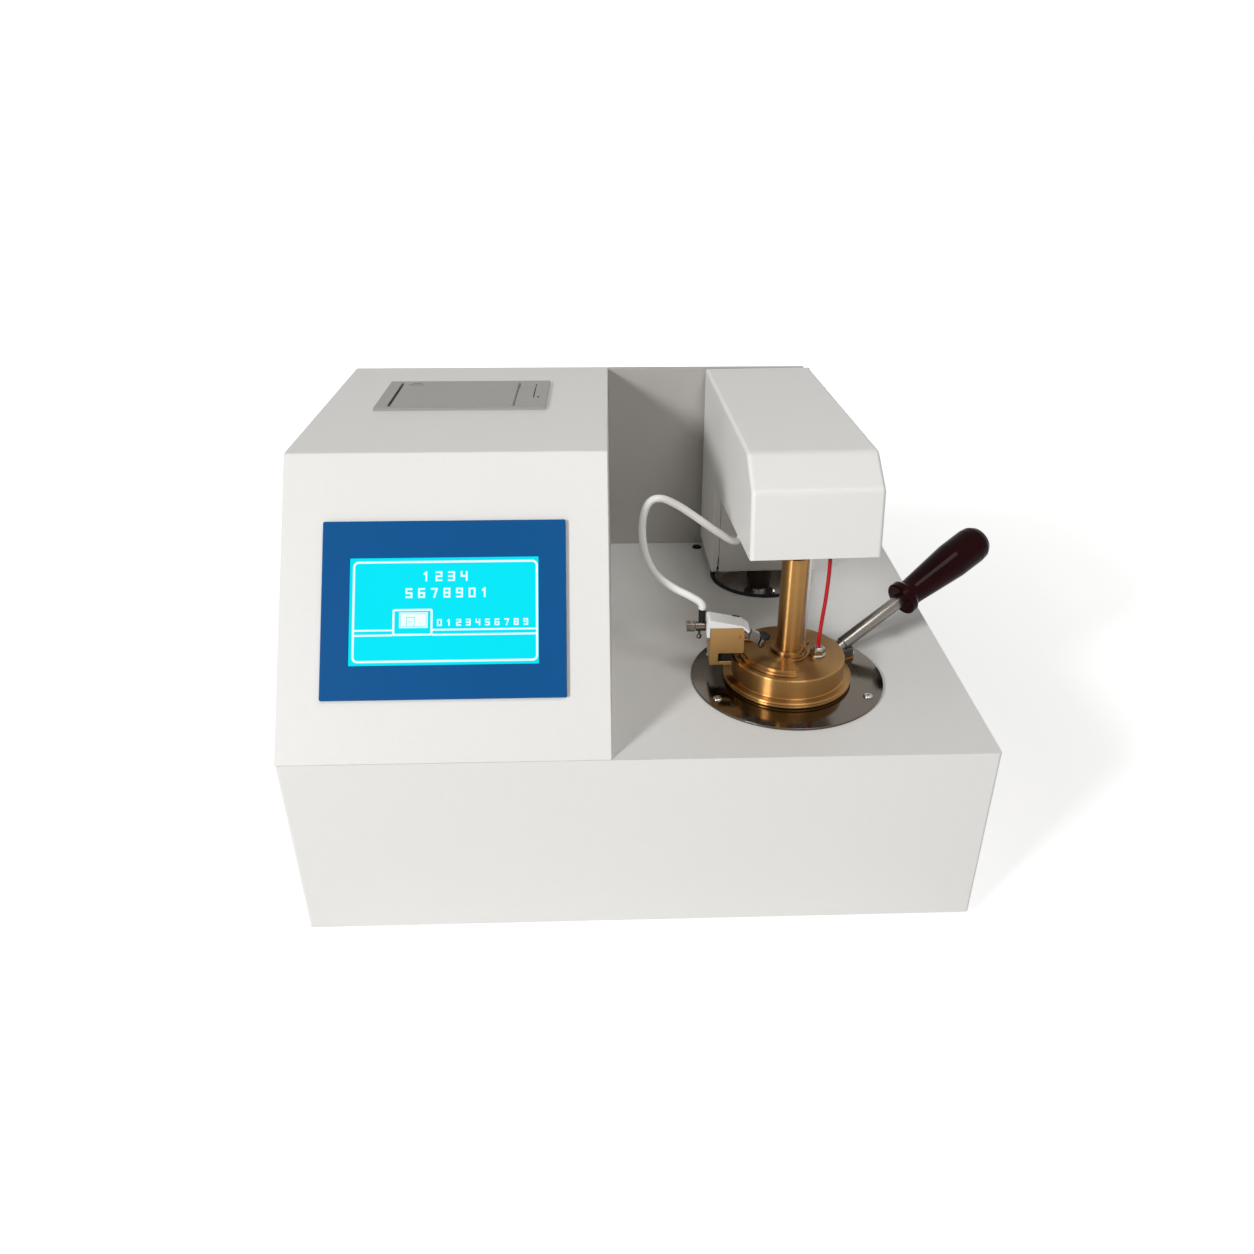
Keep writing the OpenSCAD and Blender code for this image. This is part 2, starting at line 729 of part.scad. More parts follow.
module shutter_motor() {
    color("dimgray") in_case() translate([stove_x, stove_y, tray_z + 3]) translate(shutter_motor_at) {
        cylinder(26, r = 12);
        translate([0, 0, -10]) cylinder(10, r = 2.5);
    }
}

// Brass tube from the arm down to the lid, on its slotted collar
module drive_tube() {
    color("goldenrod") at_stove() difference() {
        rotate_extrude() polygon([
            [5.5, lid_top], [collar_r, lid_top], [collar_r, lid_top + 4.2], [collar_r - 0.8, lid_top + 5],
            [drive_tube_d / 2, lid_top + 5], [drive_tube_d / 2, tube_top - 2.2],
            [tube_neck_r, tube_top - 2.2], [tube_neck_r, tube_top], [5.5, tube_top]
        ]);
        translate([0, 0, lid_top + 2.4]) sector(collar_r + 1, collar_r - 1.9, 300, 350, 9);
    }
}

// Lid: a drum on a wide rim, hollow below, with its ports through the roof
module lid() {
    color("goldenrod") at_stove() difference() {
        rotate_extrude() polygon([
            [0, lid_top], [0, lid_top - lid_roof], [cup_bore_d / 2, lid_top - lid_roof],
            [cup_bore_d / 2, lid_z],
            [lid_rim_r - 0.5, lid_z], [lid_rim_r, lid_z + 0.5], [lid_rim_r, lid_z + lid_rim_t - 0.5],
            [lid_rim_r - 0.5, lid_z + lid_rim_t], [drum_r + 1, lid_z + lid_rim_t],
            [drum_r, lid_z + lid_rim_t + 1], [drum_r, lid_top - 0.6], [drum_r - 0.6, lid_top]
        ]);
        cylinder(60, r = 5.5);
        rotate([0, 0, port_turn]) translate([port_r, 0, 0]) cylinder(60, r = port_d / 2);
        sector_port(222);
        translate([sensor_at[0], sensor_at[1], 0]) cylinder(60, r = 3);
    }
}

// Vent port through the lid's roof, under the shutter
module sector_port(turn) {
    translate([0, 0, lid_top - 6]) sector(24, 15, turn - 5, turn + 5, 12);
}

module sensor_nut() {
    color("silver") at_stove() translate([sensor_at[0], sensor_at[1], lid_top]) difference() {
        union() {
            cylinder(1.2, r = 4.9);
            translate([0, 0, 1.2]) cylinder(3.6, r = 4.6, $fn = 6);
            translate([0, 0, 4.8]) cylinder(1.4, r = 3);
            translate([0, 0, -3.4]) cylinder(3.4, r = 3);
        }
        translate([0, 0, -9]) cylinder(40, r = 1.6);
    }
}

module sensor_probe() {
    color("silver") at_stove() translate([sensor_at[0], sensor_at[1], -26]) {
        cylinder(lid_top + 26 + 5, r = 1.6);
        sphere(1.6);
    }
}

module sensor_lead() {
    color("firebrick") in_case() swept_tube(lead_route, lead_d / 2, 8);
}

// Brass bracket astride the lid's left edge, notched to clear the lid and shutter
module ignition_bracket() {
    left = 244.5;
    right = 265.5;
    front = 78;
    rear = 98;
    color("goldenrod") in_case() translate([0, 0, deck_z]) difference() {
        union() {
            translate([left, front, 13]) cube([right - left, 1.5, 25]);
            translate([left, front, 13]) cube([1.5, rear - front + 1.5, 25]);
            translate([left, rear, lid_top]) cube([right - left + 11, 1.5, 20]);
            translate([right - 3, rear, lid_top]) cube([14, 9, 1.5]);
        }
        translate([247.8, front - 1, 15.5]) cube([30, 4, 6]);
        translate([260, front - 1, 10]) cube([30, 4, 6]);
        translate([right, rear - 1, lid_top + 12]) cube([30, 4, 30]);
        translate([torch_pivot[0], front - 5, torch_pivot[2]]) rotate([-90, 0, 0]) cylinder(40, r = 1.2);
        translate([272, rear + 5.5, 0]) cylinder(60, r = 1.6);
    }
}

// White moulded cover on the bracket, chamfered at the nozzle's corner
module ignition_cap() {
    color("white") in_case() translate([0, 0, deck_z + 38]) difference() {
        union() {
            linear_extrude(3.6) polygon([[244, 77], [267, 77], [271, 84], [268, 95], [262, 101], [244, 101]]);
            translate([242.6, 77, -10]) cube([1.8, 8, 13.6]);
        }
        translate([258, 93, 2.6]) rotate([0, 0, -18]) cube([6, 1.6, 9]);
    }
}

// Needle valve for the pilot gas: body along X, hose barb standing on it
module needle_valve() {
    color("silver") in_case() translate([0, 90, deck_z + 35]) {
        difference() {
            translate([237, 0, 0]) rotate([0, 90, 0]) cylinder(7.5, r = 3);
            translate([236, 0, 0]) rotate([0, 90, 0]) cylinder(4.2, r = 1.4 + running);
        }
        translate([241, 0, 2]) cylinder(10, r = 1.9);
        translate([239.4, -1, -6.5]) cylinder(5, r = 0.8);
        translate([239.4, -1, -6.5]) sphere(1.7);
    }
}

module gas_hose() {
    color("white") in_case() swept_tube(hose_route, hose_d / 2, 8);
}

// Shutter: two stepped leaves on a hub round the collar, and the lug for its rod
module shutter() {
    color("goldenrod") at_stove() translate([0, 0, shutter_z]) difference() {
        union() {
            ring(12.7, collar_r + gap, shutter_step);
            sector(31, 12, 183, 270, shutter_step);
            translate([0, 0, shutter_step]) sector(28.6, 12, 183, 270, shutter_t - shutter_step);
            rotate([0, 0, rod_turn]) translate([12, -3, 0]) cube([7, 6, shutter_step]);
        }
        rotate([0, 0, rod_turn]) translate([rod_orbit_r, 0, -3]) cylinder(9, r = rod_d / 2);
    }
}

// Rod behind the tube that turns the shutter, with its crank above the tube
module shutter_rod() {
    color("dimgray") at_stove() rotate([0, 0, rod_turn]) {
        translate([rod_orbit_r, 0, shutter_z]) cylinder(crank_z + 1 - shutter_z, r = rod_d / 2);
        translate([0, 0, crank_z]) ring(6.2, 2.6, 2.2);
        translate([4.6, -2.5, crank_z]) cube([13.8, 5, 2.2]);
    }
}

// Test flame lever: pivoted in the bracket, over the cap's corner and down to the jet
module torch_lever() {
    px = torch_pivot[0];
    pz = torch_pivot[2];
    tip = [stove_x + port_r * cos(port_turn), stove_y + port_r * sin(port_turn)];
    color("silver") in_case() translate([0, 0, deck_z]) {
        translate([px, 79.8, pz]) rotate([-90, 0, 0]) cylinder(17.9, r = 3);
        translate([px, 77, pz]) rotate([-90, 0, 0]) cylinder(22.5, r = 1.2 - running);
        translate([0, 90, 0]) rotate([90, 0, 0]) linear_extrude(3)
            polygon([[px - 2, pz], [px + 3, pz - 1.5], [263, 31.5], [263, 35], [259, 35]]);
        translate([259, 80.5, 31.5]) cube([4.5, 9.5, 3.5]);
        difference() {
            translate([0, tip[1] + 4.5, 0]) rotate([90, 0, 0]) linear_extrude(7) polygon([
                [259, 31.5], [266, 31.5], [271, 31], [279.4, 31],
                [279.4, 33], [274, 34], [267, 35.4], [259, 35.4]
            ]);
            translate([255, 70, 20]) cube([11.3, 10, 30]);
        }
        translate([tip[0], tip[1], 26]) cylinder(1.2, r1 = 1.3, r2 = 1.9);
        translate([tip[0], tip[1], 27.2]) cylinder(4, r = 1.9);
        translate([tip[0], tip[1], 30.7]) cylinder(3.8, r = 3.4);
    }
}

module valve_knob() {
    color("silver") in_case() translate([0, 90, deck_z + 35]) rotate([0, 90, 0]) {
        translate([0, 0, 236.4]) cylinder(3.5, r = 1.4);
        translate([0, 0, 231.6]) difference() {
            cylinder(5, r = 3.4);
            for (a = [0 : 30 : 330]) rotate([0, 0, a]) translate([3.6, 0, -1]) cylinder(9, r = 0.5);
        }
    }
}

// Stirrer: shaft with two pairs of pitched blades in the cup
module stirrer() {
    color("silver") at_stove() {
        translate([0, 0, -40]) cylinder(40 + tray_z - deck_z + 4, r = 2);
        translate([0, 0, pulley_z]) pulley();
        for (b = [[-34, 19], [2, 10]]) for (side = [0, 180]) rotate([0, 0, side])
            translate([b[1] / 2 + 1, 0, b[0]]) rotate([45, 0, 0]) cube([b[1] - 2, 8, 1.4], center = true);
        for (z = [-34, 2]) translate([0, 0, z - 3.5]) cylinder(7, r = 3.4);
    }
}

// Brass test cup: thin wall below a broad flange, with the tongue for the handle
module cup() {
    wall = 1.6;
    r = cup_bore_d / 2;
    rim = flange_z + flange_t;
    color("goldenrod") at_stove() {
        rotate_extrude() polygon([
            [0, rim - cup_depth], [r - 1.5, rim - cup_depth], [r, rim - cup_depth + 1.5], [r, rim],
            [cup_flange_d / 2 - 0.4, rim], [cup_flange_d / 2, rim - 0.4], [cup_flange_d / 2, flange_z + 0.4],
            [cup_flange_d / 2 - 0.4, flange_z], [r + wall, flange_z], [r + wall, rim - cup_depth - 1.2],
            [r + wall - 1.2, rim - cup_depth - 2.4], [0, rim - cup_depth - 2.4]
        ]);
        rotate([0, 0, handle_turn]) difference() {
            translate([38.5, -6, flange_z]) cube([12, 12, flange_t]);
            translate([47, 0, 0]) cylinder(20, r = 1.5);
        }
    }
}

// Local frame of the cup's handle: Z along the handle, from its root on the flange
module along_handle() {
    at_stove() rotate([0, 0, handle_turn]) translate([handle_root_r, 0, handle_root_z])
        rotate([0, 90 - handle_rise, 0]) children();
}

// Steel rod of the handle, with the foot that is screwed to the cup's tongue
module handle_rod() {
    color("silver") {
        difference() {
            along_handle() translate([0, 0, 2]) cylinder(61, r = handle_rod_r);
            at_stove() translate([0, 0, flange_z + flange_t - 30]) cylinder(30, r = 90);
            at_stove() cylinder(60, r = lid_rim_r + gap);
        }
        at_stove() rotate([0, 0, handle_turn]) translate([lid_rim_r + 0.8, -5.5, flange_z + flange_t])
            cube([9.5, 11, 3.4]);
    }
}

// Turned grip with its collar and rounded end
module handle_grip() {
    collar = 57;
    end = handle_l - grip_end_r;
    color("maroon") along_handle() rotate_extrude() {
        polygon([
            [0, 63], [handle_rod_r, 63], [handle_rod_r, collar], [10.8, collar], [11.4, collar + 1],
            [11.4, collar + 5], [10.2, collar + 6.4], [9, collar + 7.4], [9, collar + 11], [grip_end_r, end - 14],
            [grip_end_r, end], [0, end]
        ]);
        translate([0, end]) intersection() {
            circle(grip_end_r);
            square(grip_end_r);
        }
    }
}

base_cover();
tower_cover();
rear_wall();
rear_panel();
floor_plate();
feet();
deck_grommet();
display_bezel();
touch_glass();
display_module();
printer_frame();
printer_door();
platen_roller();
paper_roll();
feed_button();
power_inlet();
power_switch();
cooling_fan_frame();
cooling_fan_rotor();
fan_guard();
gas_inlet();
control_board();
power_supply();
stove_plate();
stove_screws();
heater_block();
stove_can();
spacer_ring();
opening_trim();
lift_pan();
lift_sleeve();
lift_motor();
lift_stage();
lift_post();
lift_carrier();
post_boot();
arm_cover();
arm_bottom_plate();
column_plate();
stirrer_motor();
motor_pulley();
stirrer_belt();
shutter_motor();
drive_tube();
lid();
sensor_nut();
sensor_probe();
sensor_lead();
ignition_bracket();
ignition_cap();
needle_valve();
gas_hose();
shutter();
shutter_rod();
torch_lever();
valve_knob();
stirrer();
cup();
handle_rod();
handle_grip();
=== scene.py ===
# Flash point tester: the finished pieces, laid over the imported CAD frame.

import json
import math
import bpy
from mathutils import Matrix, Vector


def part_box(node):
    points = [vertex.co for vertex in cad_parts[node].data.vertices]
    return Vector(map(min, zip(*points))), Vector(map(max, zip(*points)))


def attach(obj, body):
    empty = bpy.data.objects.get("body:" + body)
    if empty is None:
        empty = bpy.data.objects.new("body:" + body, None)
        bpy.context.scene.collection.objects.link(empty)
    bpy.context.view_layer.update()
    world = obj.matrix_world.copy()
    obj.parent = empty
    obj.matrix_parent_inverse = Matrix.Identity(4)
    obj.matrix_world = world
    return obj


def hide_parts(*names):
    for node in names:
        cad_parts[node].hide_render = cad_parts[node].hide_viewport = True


bl_info = {
    "name": "Flash point tester",
    "version": (1, 0, 0),
    "blender": (4, 5, 0),
    "location": "3D View > Sidebar > Tester",
    "description": "Builds the finished pieces of a bench flash point tester over its CAD frame",
    "category": "Object",
}

import bmesh
import bpy
from bpy.props import FloatProperty, FloatVectorProperty, IntProperty, PointerProperty
from mathutils import Matrix, Vector

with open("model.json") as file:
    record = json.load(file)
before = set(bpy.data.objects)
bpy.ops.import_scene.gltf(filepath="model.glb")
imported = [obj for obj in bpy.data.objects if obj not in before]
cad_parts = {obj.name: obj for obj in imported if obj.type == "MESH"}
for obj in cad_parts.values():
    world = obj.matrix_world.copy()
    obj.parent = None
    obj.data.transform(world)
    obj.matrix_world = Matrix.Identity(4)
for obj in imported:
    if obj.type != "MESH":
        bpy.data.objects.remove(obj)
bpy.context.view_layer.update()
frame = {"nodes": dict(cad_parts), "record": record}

MM = 0.001

# Places taken from the frame: the case's corner, the deck, the stove's axis and the lift post
CASE = Vector((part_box("base_cover")[0].x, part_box("base_cover")[0].y, 0))
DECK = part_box("base_cover")[1].z
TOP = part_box("tower_cover")[1].z
TOWER_TOP_Y = 108 * MM
SLOPE = math.atan(TOWER_TOP_Y / (TOP - DECK))
STOVE = (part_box("stove_plate")[0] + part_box("stove_plate")[1]) / 2
POST = (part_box("lift_post")[0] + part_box("lift_post")[1]) / 2
TRIM = (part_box("opening_trim")[0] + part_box("opening_trim")[1]) / 2

BODY_OF = {node: body for body, nodes in frame["record"]["behaviour"]["bodies"].items() for node in nodes}
SLOT_OF = {part["node"]: part["material_slot"] for part in frame["record"]["subparts"]}


def case_point(x, y, z):
    """A point given in millimetres from the case's front left corner on the floor."""
    return CASE + Vector((x, y, z)) * MM


def deck_point(x, y, z=0.0):
    """The same, but its height given from the deck."""
    return case_point(x, y, 0) + Vector((0, 0, DECK + z * MM))


def over_stove(x=0.0, y=0.0, z=0.0):
    """A point given in millimetres from where the stove's axis meets the deck."""
    return Vector((STOVE.x, STOVE.y, DECK)) + Vector((x, y, z)) * MM


def slope_frame():
    """Places a flat drawing on the slanted front: X along it, Y up it, Z out of it."""
    lean = Matrix.Rotation(math.radians(90) - SLOPE, 4, "X")
    return Matrix.Translation(CASE + Vector((0, 0, DECK))) @ lean


# The cup's handle: the turn of its root round the stove, the lean from upright, and the root on the flange
HANDLE_TURN, HANDLE_LEAN = math.radians(29.5), math.radians(67.5)
HANDLE_ROOT = Vector((39.4, 0, 8.3)) * MM


def handle_frame():
    """Z runs along the cup's handle, from its root on the flange."""
    turn = Matrix.Rotation(HANDLE_TURN, 4, "Z")
    lean = Matrix.Rotation(HANDLE_LEAN, 4, "Y")
    return Matrix.Translation(over_stove()) @ turn @ Matrix.Translation(HANDLE_ROOT) @ lean


class TesterSizes(bpy.types.PropertyGroup):
    """Sizes that a user may change without touching the frame"""

    sheet_edge: FloatProperty(
        name="Sheet edge", description="Rounding of the painted sheet's bent edges",
        default=1.1 * MM, min=0.1 * MM, max=2 * MM, unit="LENGTH")
    machined_edge: FloatProperty(
        name="Machined edge", description="Rounding of turned and milled edges",
        default=0.35 * MM, min=0.05 * MM, max=1 * MM, unit="LENGTH")
    moulded_edge: FloatProperty(
        name="Moulded edge", description="Rounding of moulded plastic edges",
        default=0.5 * MM, min=0.05 * MM, max=1.5 * MM, unit="LENGTH")
    turned_sides: IntProperty(
        name="Turned sides", description="Facets round a turned piece",
        default=144, min=24, max=256)
    hose_radius: FloatProperty(
        name="Hose radius", description="Radius of the gas hose",
        default=2.3 * MM, min=1 * MM, max=4 * MM, unit="LENGTH")
    lead_radius: FloatProperty(
        name="Lead radius", description="Radius of the sensor's lead",
        default=1.2 * MM, min=0.5 * MM, max=2 * MM, unit="LENGTH")


def colour_property(name, description, value):
    """A colour that the panel shows, with its first value."""
    return FloatVectorProperty(
        name=name, description=description, subtype="COLOR", size=3, min=0, max=1, default=value)


class TesterColours(bpy.types.PropertyGroup):
    """Colours that a user may change"""

    paint: colour_property("Paint", "Warm white powder coat of the case and arm", (0.79, 0.78, 0.755))
    # Painted shade: the wall gets a darker grey than the case's paint, for the shadow that falls on it
    # between the tower and the arm.
    wall_painted_shade: colour_property("Wall paint", "Paint of the wall behind the deck", (0.47, 0.455, 0.43))
    brass: colour_property("Brass", "Turned brass of the cup, lid and tube", (0.36, 0.195, 0.066))
    plate: colour_property("Stove plate", "Dark stainless plate round the cup", (0.15, 0.127, 0.103))
    bezel: colour_property("Bezel", "Blue film round the screen", (0.003, 0.095, 0.30))
    screen: colour_property("Screen", "Light of the screen", (0.0, 0.84, 0.98))
    marks: colour_property("Screen marks", "Lines and digits on the screen", (0.92, 1.0, 1.0))
    printer: colour_property("Printer", "Moulded grey of the printer", (0.36, 0.345, 0.32))
    grip: colour_property("Grip", "Dark maroon of the cup's grip", (0.026, 0.0015, 0.0018))
    hose: colour_property("Hose", "White silicone of the gas hose", (0.80, 0.785, 0.75))
    lead: colour_property("Lead", "Red sleeve of the sensor's lead", (0.52, 0.006, 0.014))


# Shader groups shared by the materials

# The middle stretch of a noise's values, that most of them lie in
NOISE_LOW, NOISE_HIGH = 0.3, 0.7
# How closely a turned face's broad rings and a tint's fine specks follow each other, per metre
BROAD_RINGS, SPECKS = 260.0, 2400.0


def made_once(name, kind, inputs, outputs):
    """Turns a function that fills a node group into one that makes it once and then shares it."""
    def wrap(fill):
        def shared():
            tree = bpy.data.node_groups.get(name)
            if tree is None:
                tree = bpy.data.node_groups.new(name, f"{kind}NodeTree")
                for side, sockets in (("INPUT", inputs), ("OUTPUT", outputs)):
                    for label, sort, *value in sockets:
                        socket = tree.interface.new_socket(
                            name=label, in_out=side, socket_type=f"NodeSocket{sort}")
                        if value:
                            socket.default_value = value[0]
                fill(tree, tree.nodes.new("NodeGroupInput"), tree.nodes.new("NodeGroupOutput"))
            return tree
        return shared
    return wrap


def add_node(tree, kind, operation=None, **values):
    """Adds a node, with its operation and the values of its inputs."""
    node = tree.nodes.new(kind)
    if operation:
        node.operation = operation
    for name, value in values.items():
        node.inputs[name.replace("_", " ")].default_value = value
    return node


def wire(source, output, target, entry):
    """Links one node's output to another's input, each by its name or its place."""
    source.id_data.links.new(source.outputs[output], target.inputs[entry])


@made_once("Grain", "Shader", [
    ("Scale", "Float", 800.0), ("Stretch", "Vector", (1.0, 1.0, 1.0)),
    ("Low", "Float", 0.0), ("High", "Float", 1.0)],
    [("Value", "Float")])
def grain_group(tree, given, out):
    """Noise on object coordinates, stretched as asked and spread over 0 to 1."""
    place = add_node(tree, "ShaderNodeTexCoord")
    stretched = add_node(tree, "ShaderNodeVectorMath", "MULTIPLY")
    noise = add_node(tree, "ShaderNodeTexNoise", Detail=4.0)
    spread = add_node(tree, "ShaderNodeMapRange", From_Min=NOISE_LOW, From_Max=NOISE_HIGH)
    wire(place, "Object", stretched, 0)
    wire(given, "Stretch", stretched, 1)
    wire(stretched, 0, noise, "Vector")
    wire(given, "Scale", noise, "Scale")
    wire(noise, "Fac", spread, "Value")
    wire(given, "Low", spread, "To Min")
    wire(given, "High", spread, "To Max")
    wire(spread, "Result", out, "Value")


@made_once("Turning marks", "Shader", [
    ("Axis", "Vector", (0.0, 0.0, 0.0)), ("Marks per metre", "Float", 2600.0)],
    [("Value", "Float"), ("Broad", "Float")])
def turning_group(tree, given, out):
    """Fine rings left by the lathe round an upright axis, on flats and on walls alike."""
    place = add_node(tree, "ShaderNodeTexCoord")
    centred = add_node(tree, "ShaderNodeVectorMath", "SUBTRACT")
    parts = add_node(tree, "ShaderNodeSeparateXYZ")
    flat = add_node(tree, "ShaderNodeCombineXYZ")
    radius = add_node(tree, "ShaderNodeVectorMath", "LENGTH")
    along = add_node(tree, "ShaderNodeMath", "ADD")
    fine, broad = [add_node(tree, "ShaderNodeTexNoise") for _ in range(2)]
    wire(place, "Object", centred, 0)
    wire(given, "Axis", centred, 1)
    wire(centred, 0, parts, 0)
    wire(parts, "X", flat, "X")
    wire(parts, "Y", flat, "Y")
    wire(flat, 0, radius, 0)
    wire(radius, "Value", along, 0)
    wire(parts, "Z", along, 1)
    for noise in (fine, broad):
        noise.noise_dimensions = "1D"
        wire(along, 0, noise, "W")
    fine.inputs["Detail"].default_value = 3.0
    broad.inputs["Scale"].default_value = BROAD_RINGS
    wire(given, "Marks per metre", fine, "Scale")
    wire(fine, "Fac", out, "Value")
    wire(broad, "Fac", out, "Broad")


@made_once("Drifting tint", "Shader", [
    ("Colour", "Color", (0.8, 0.8, 0.8, 1.0)), ("Other", "Color", (0.7, 0.7, 0.7, 1.0)),
    ("Scale", "Float", 12.0), ("Fine", "Float", 0.3)],
    [("Colour", "Color")])
def tint_group(tree, given, out):
    """A colour that drifts a little lighter and darker over the surface."""
    place = add_node(tree, "ShaderNodeTexCoord")
    cloud = add_node(tree, "ShaderNodeTexNoise", Detail=3.0)
    speck = add_node(tree, "ShaderNodeTexNoise", Scale=SPECKS)
    both = add_node(tree, "ShaderNodeMix")
    blend = add_node(tree, "ShaderNodeMix")
    blend.data_type = "RGBA"
    wire(place, "Object", cloud, "Vector")
    wire(place, "Object", speck, "Vector")
    wire(given, "Scale", cloud, "Scale")
    wire(given, "Fine", both, 0)
    wire(cloud, "Fac", both, 2)
    wire(speck, "Fac", both, 3)
    wire(both, 0, blend, 0)
    wire(given, "Colour", blend, 6)
    wire(given, "Other", blend, 7)
    wire(blend, 2, out, "Colour")


@made_once("Hair scratches", "Shader", [("Amount", "Float", 0.3)], [("Mask", "Float")])
def scratch_group(tree, given, out):
    """Sparse hair-fine scratches as a mask."""
    place = add_node(tree, "ShaderNodeTexCoord")
    turned = add_node(tree, "ShaderNodeMapping", Rotation=(0.4, 0.7, 0.9), Scale=(1.0, 26.0, 4.0))
    noise = add_node(tree, "ShaderNodeTexNoise", Scale=90.0, Detail=6.0)
    cut = add_node(tree, "ShaderNodeMapRange", From_Min=0.62, From_Max=0.72)
    wire(place, "Object", turned, "Vector")
    wire(turned, 0, noise, "Vector")
    wire(noise, "Fac", cut, "Value")
    wire(given, "Amount", cut, "To Max")
    wire(cut, "Result", out, "Mask")


def group_node(tree, group, **values):
    """Adds a shared group, with the values of its inputs."""
    node = tree.nodes.new("ShaderNodeGroup")
    node.node_tree = group
    for name, value in values.items():
        node.inputs[name.replace("_", " ")].default_value = value
    return node


def rgba(colour, k=1.0):
    """A colour, made lighter or darker, with full alpha."""
    return (*[min(1.0, c * k) for c in colour], 1.0)


def shade(colour, k):
    """A colour made lighter or darker."""
    return [c * k for c in colour]


SCRATCH_DEPTH = 0.02 * MM
# Turns the highlights of an anisotropic shader to lie across its tangent
QUARTER_TURN = 0.25


class Finish:
    """One material: a Principled shader with its colour, roughness and relief fed by patterns.

    The colour drifts to the other one in clouds, drift of them to a metre, with a share of fine specks.
    """

    def __init__(self, name, colour, other=None, drift=14.0, fine=0.3, **shader):
        self.name = name
        self.material = bpy.data.materials.new(name)
        self.material.use_nodes = True
        self.tree = self.material.node_tree
        self.shader = self.tree.nodes["Principled BSDF"]
        for key, value in shader.items():
            self.shader.inputs[key.replace("_", " ")].default_value = value
        tint = group_node(self.tree, tint_group(), Scale=drift, Fine=fine)
        tint.inputs["Colour"].default_value = rgba(colour)
        tint.inputs["Other"].default_value = rgba(other or shade(colour, 0.94))
        wire(tint, "Colour", self.shader, "Base Color")
        self.material.diffuse_color = rgba(colour)
        self.heights = []

    def rough(self, low, high, scale=300.0, stretch=(1, 1, 1)):
        """A roughness that varies between two values."""
        grain = group_node(self.tree, grain_group(), Scale=scale, Stretch=stretch, Low=low, High=high)
        wire(grain, "Value", self.shader, "Roughness")
        return self

    def relief(self, pattern, output, distance):
        """Adds a height pattern on top of those that are there."""
        bump = add_node(self.tree, "ShaderNodeBump", Distance=distance, Strength=1.0)
        wire(pattern, output, bump, "Height")
        if self.heights:
            wire(self.heights[-1], "Normal", bump, "Normal")
        wire(bump, "Normal", self.shader, "Normal")
        self.heights.append(bump)
        return self

    def peel(self, scale, distance, stretch=(1, 1, 1)):
        """A fine uneven skin, its grain in patches per metre and its depth in metres."""
        grain = group_node(self.tree, grain_group(), Scale=scale, Stretch=stretch)
        return self.relief(grain, "Value", distance)

    def turned(self, axis, marks, distance, low, high):
        """Lathe marks round an axis, and a roughness that varies from ring to ring."""
        rings = group_node(self.tree, turning_group(), Axis=tuple(axis), Marks_per_metre=marks)
        self.relief(rings, "Value", distance)
        spread = add_node(self.tree, "ShaderNodeMapRange",
                          From_Min=NOISE_LOW, From_Max=NOISE_HIGH, To_Min=low, To_Max=high)
        wire(rings, "Broad", spread, "Value")
        wire(spread, "Result", self.shader, "Roughness")
        return self

    def lathe_sheen(self, axis, amount):
        """Draws highlights out across the lathe's rings, as on turned metal."""
        place = add_node(self.tree, "ShaderNodeTexCoord")
        centred = add_node(self.tree, "ShaderNodeVectorMath", "SUBTRACT")
        centred.inputs[1].default_value = axis
        round_axis = add_node(self.tree, "ShaderNodeVectorMath", "CROSS_PRODUCT")
        round_axis.inputs[0].default_value = (0, 0, 1)
        wire(place, "Object", centred, 0)
        wire(centred, 0, round_axis, 1)
        wire(round_axis, 0, self.shader, "Tangent")
        self.shader.inputs["Anisotropic"].default_value = amount
        self.shader.inputs["Anisotropic Rotation"].default_value = QUARTER_TURN
        return self

    def scratched(self, amount):
        """Hair scratches, cut into the surface."""
        marks = group_node(self.tree, scratch_group(), Amount=amount)
        return self.relief(marks, "Mask", -SCRATCH_DEPTH)


finishes = {}


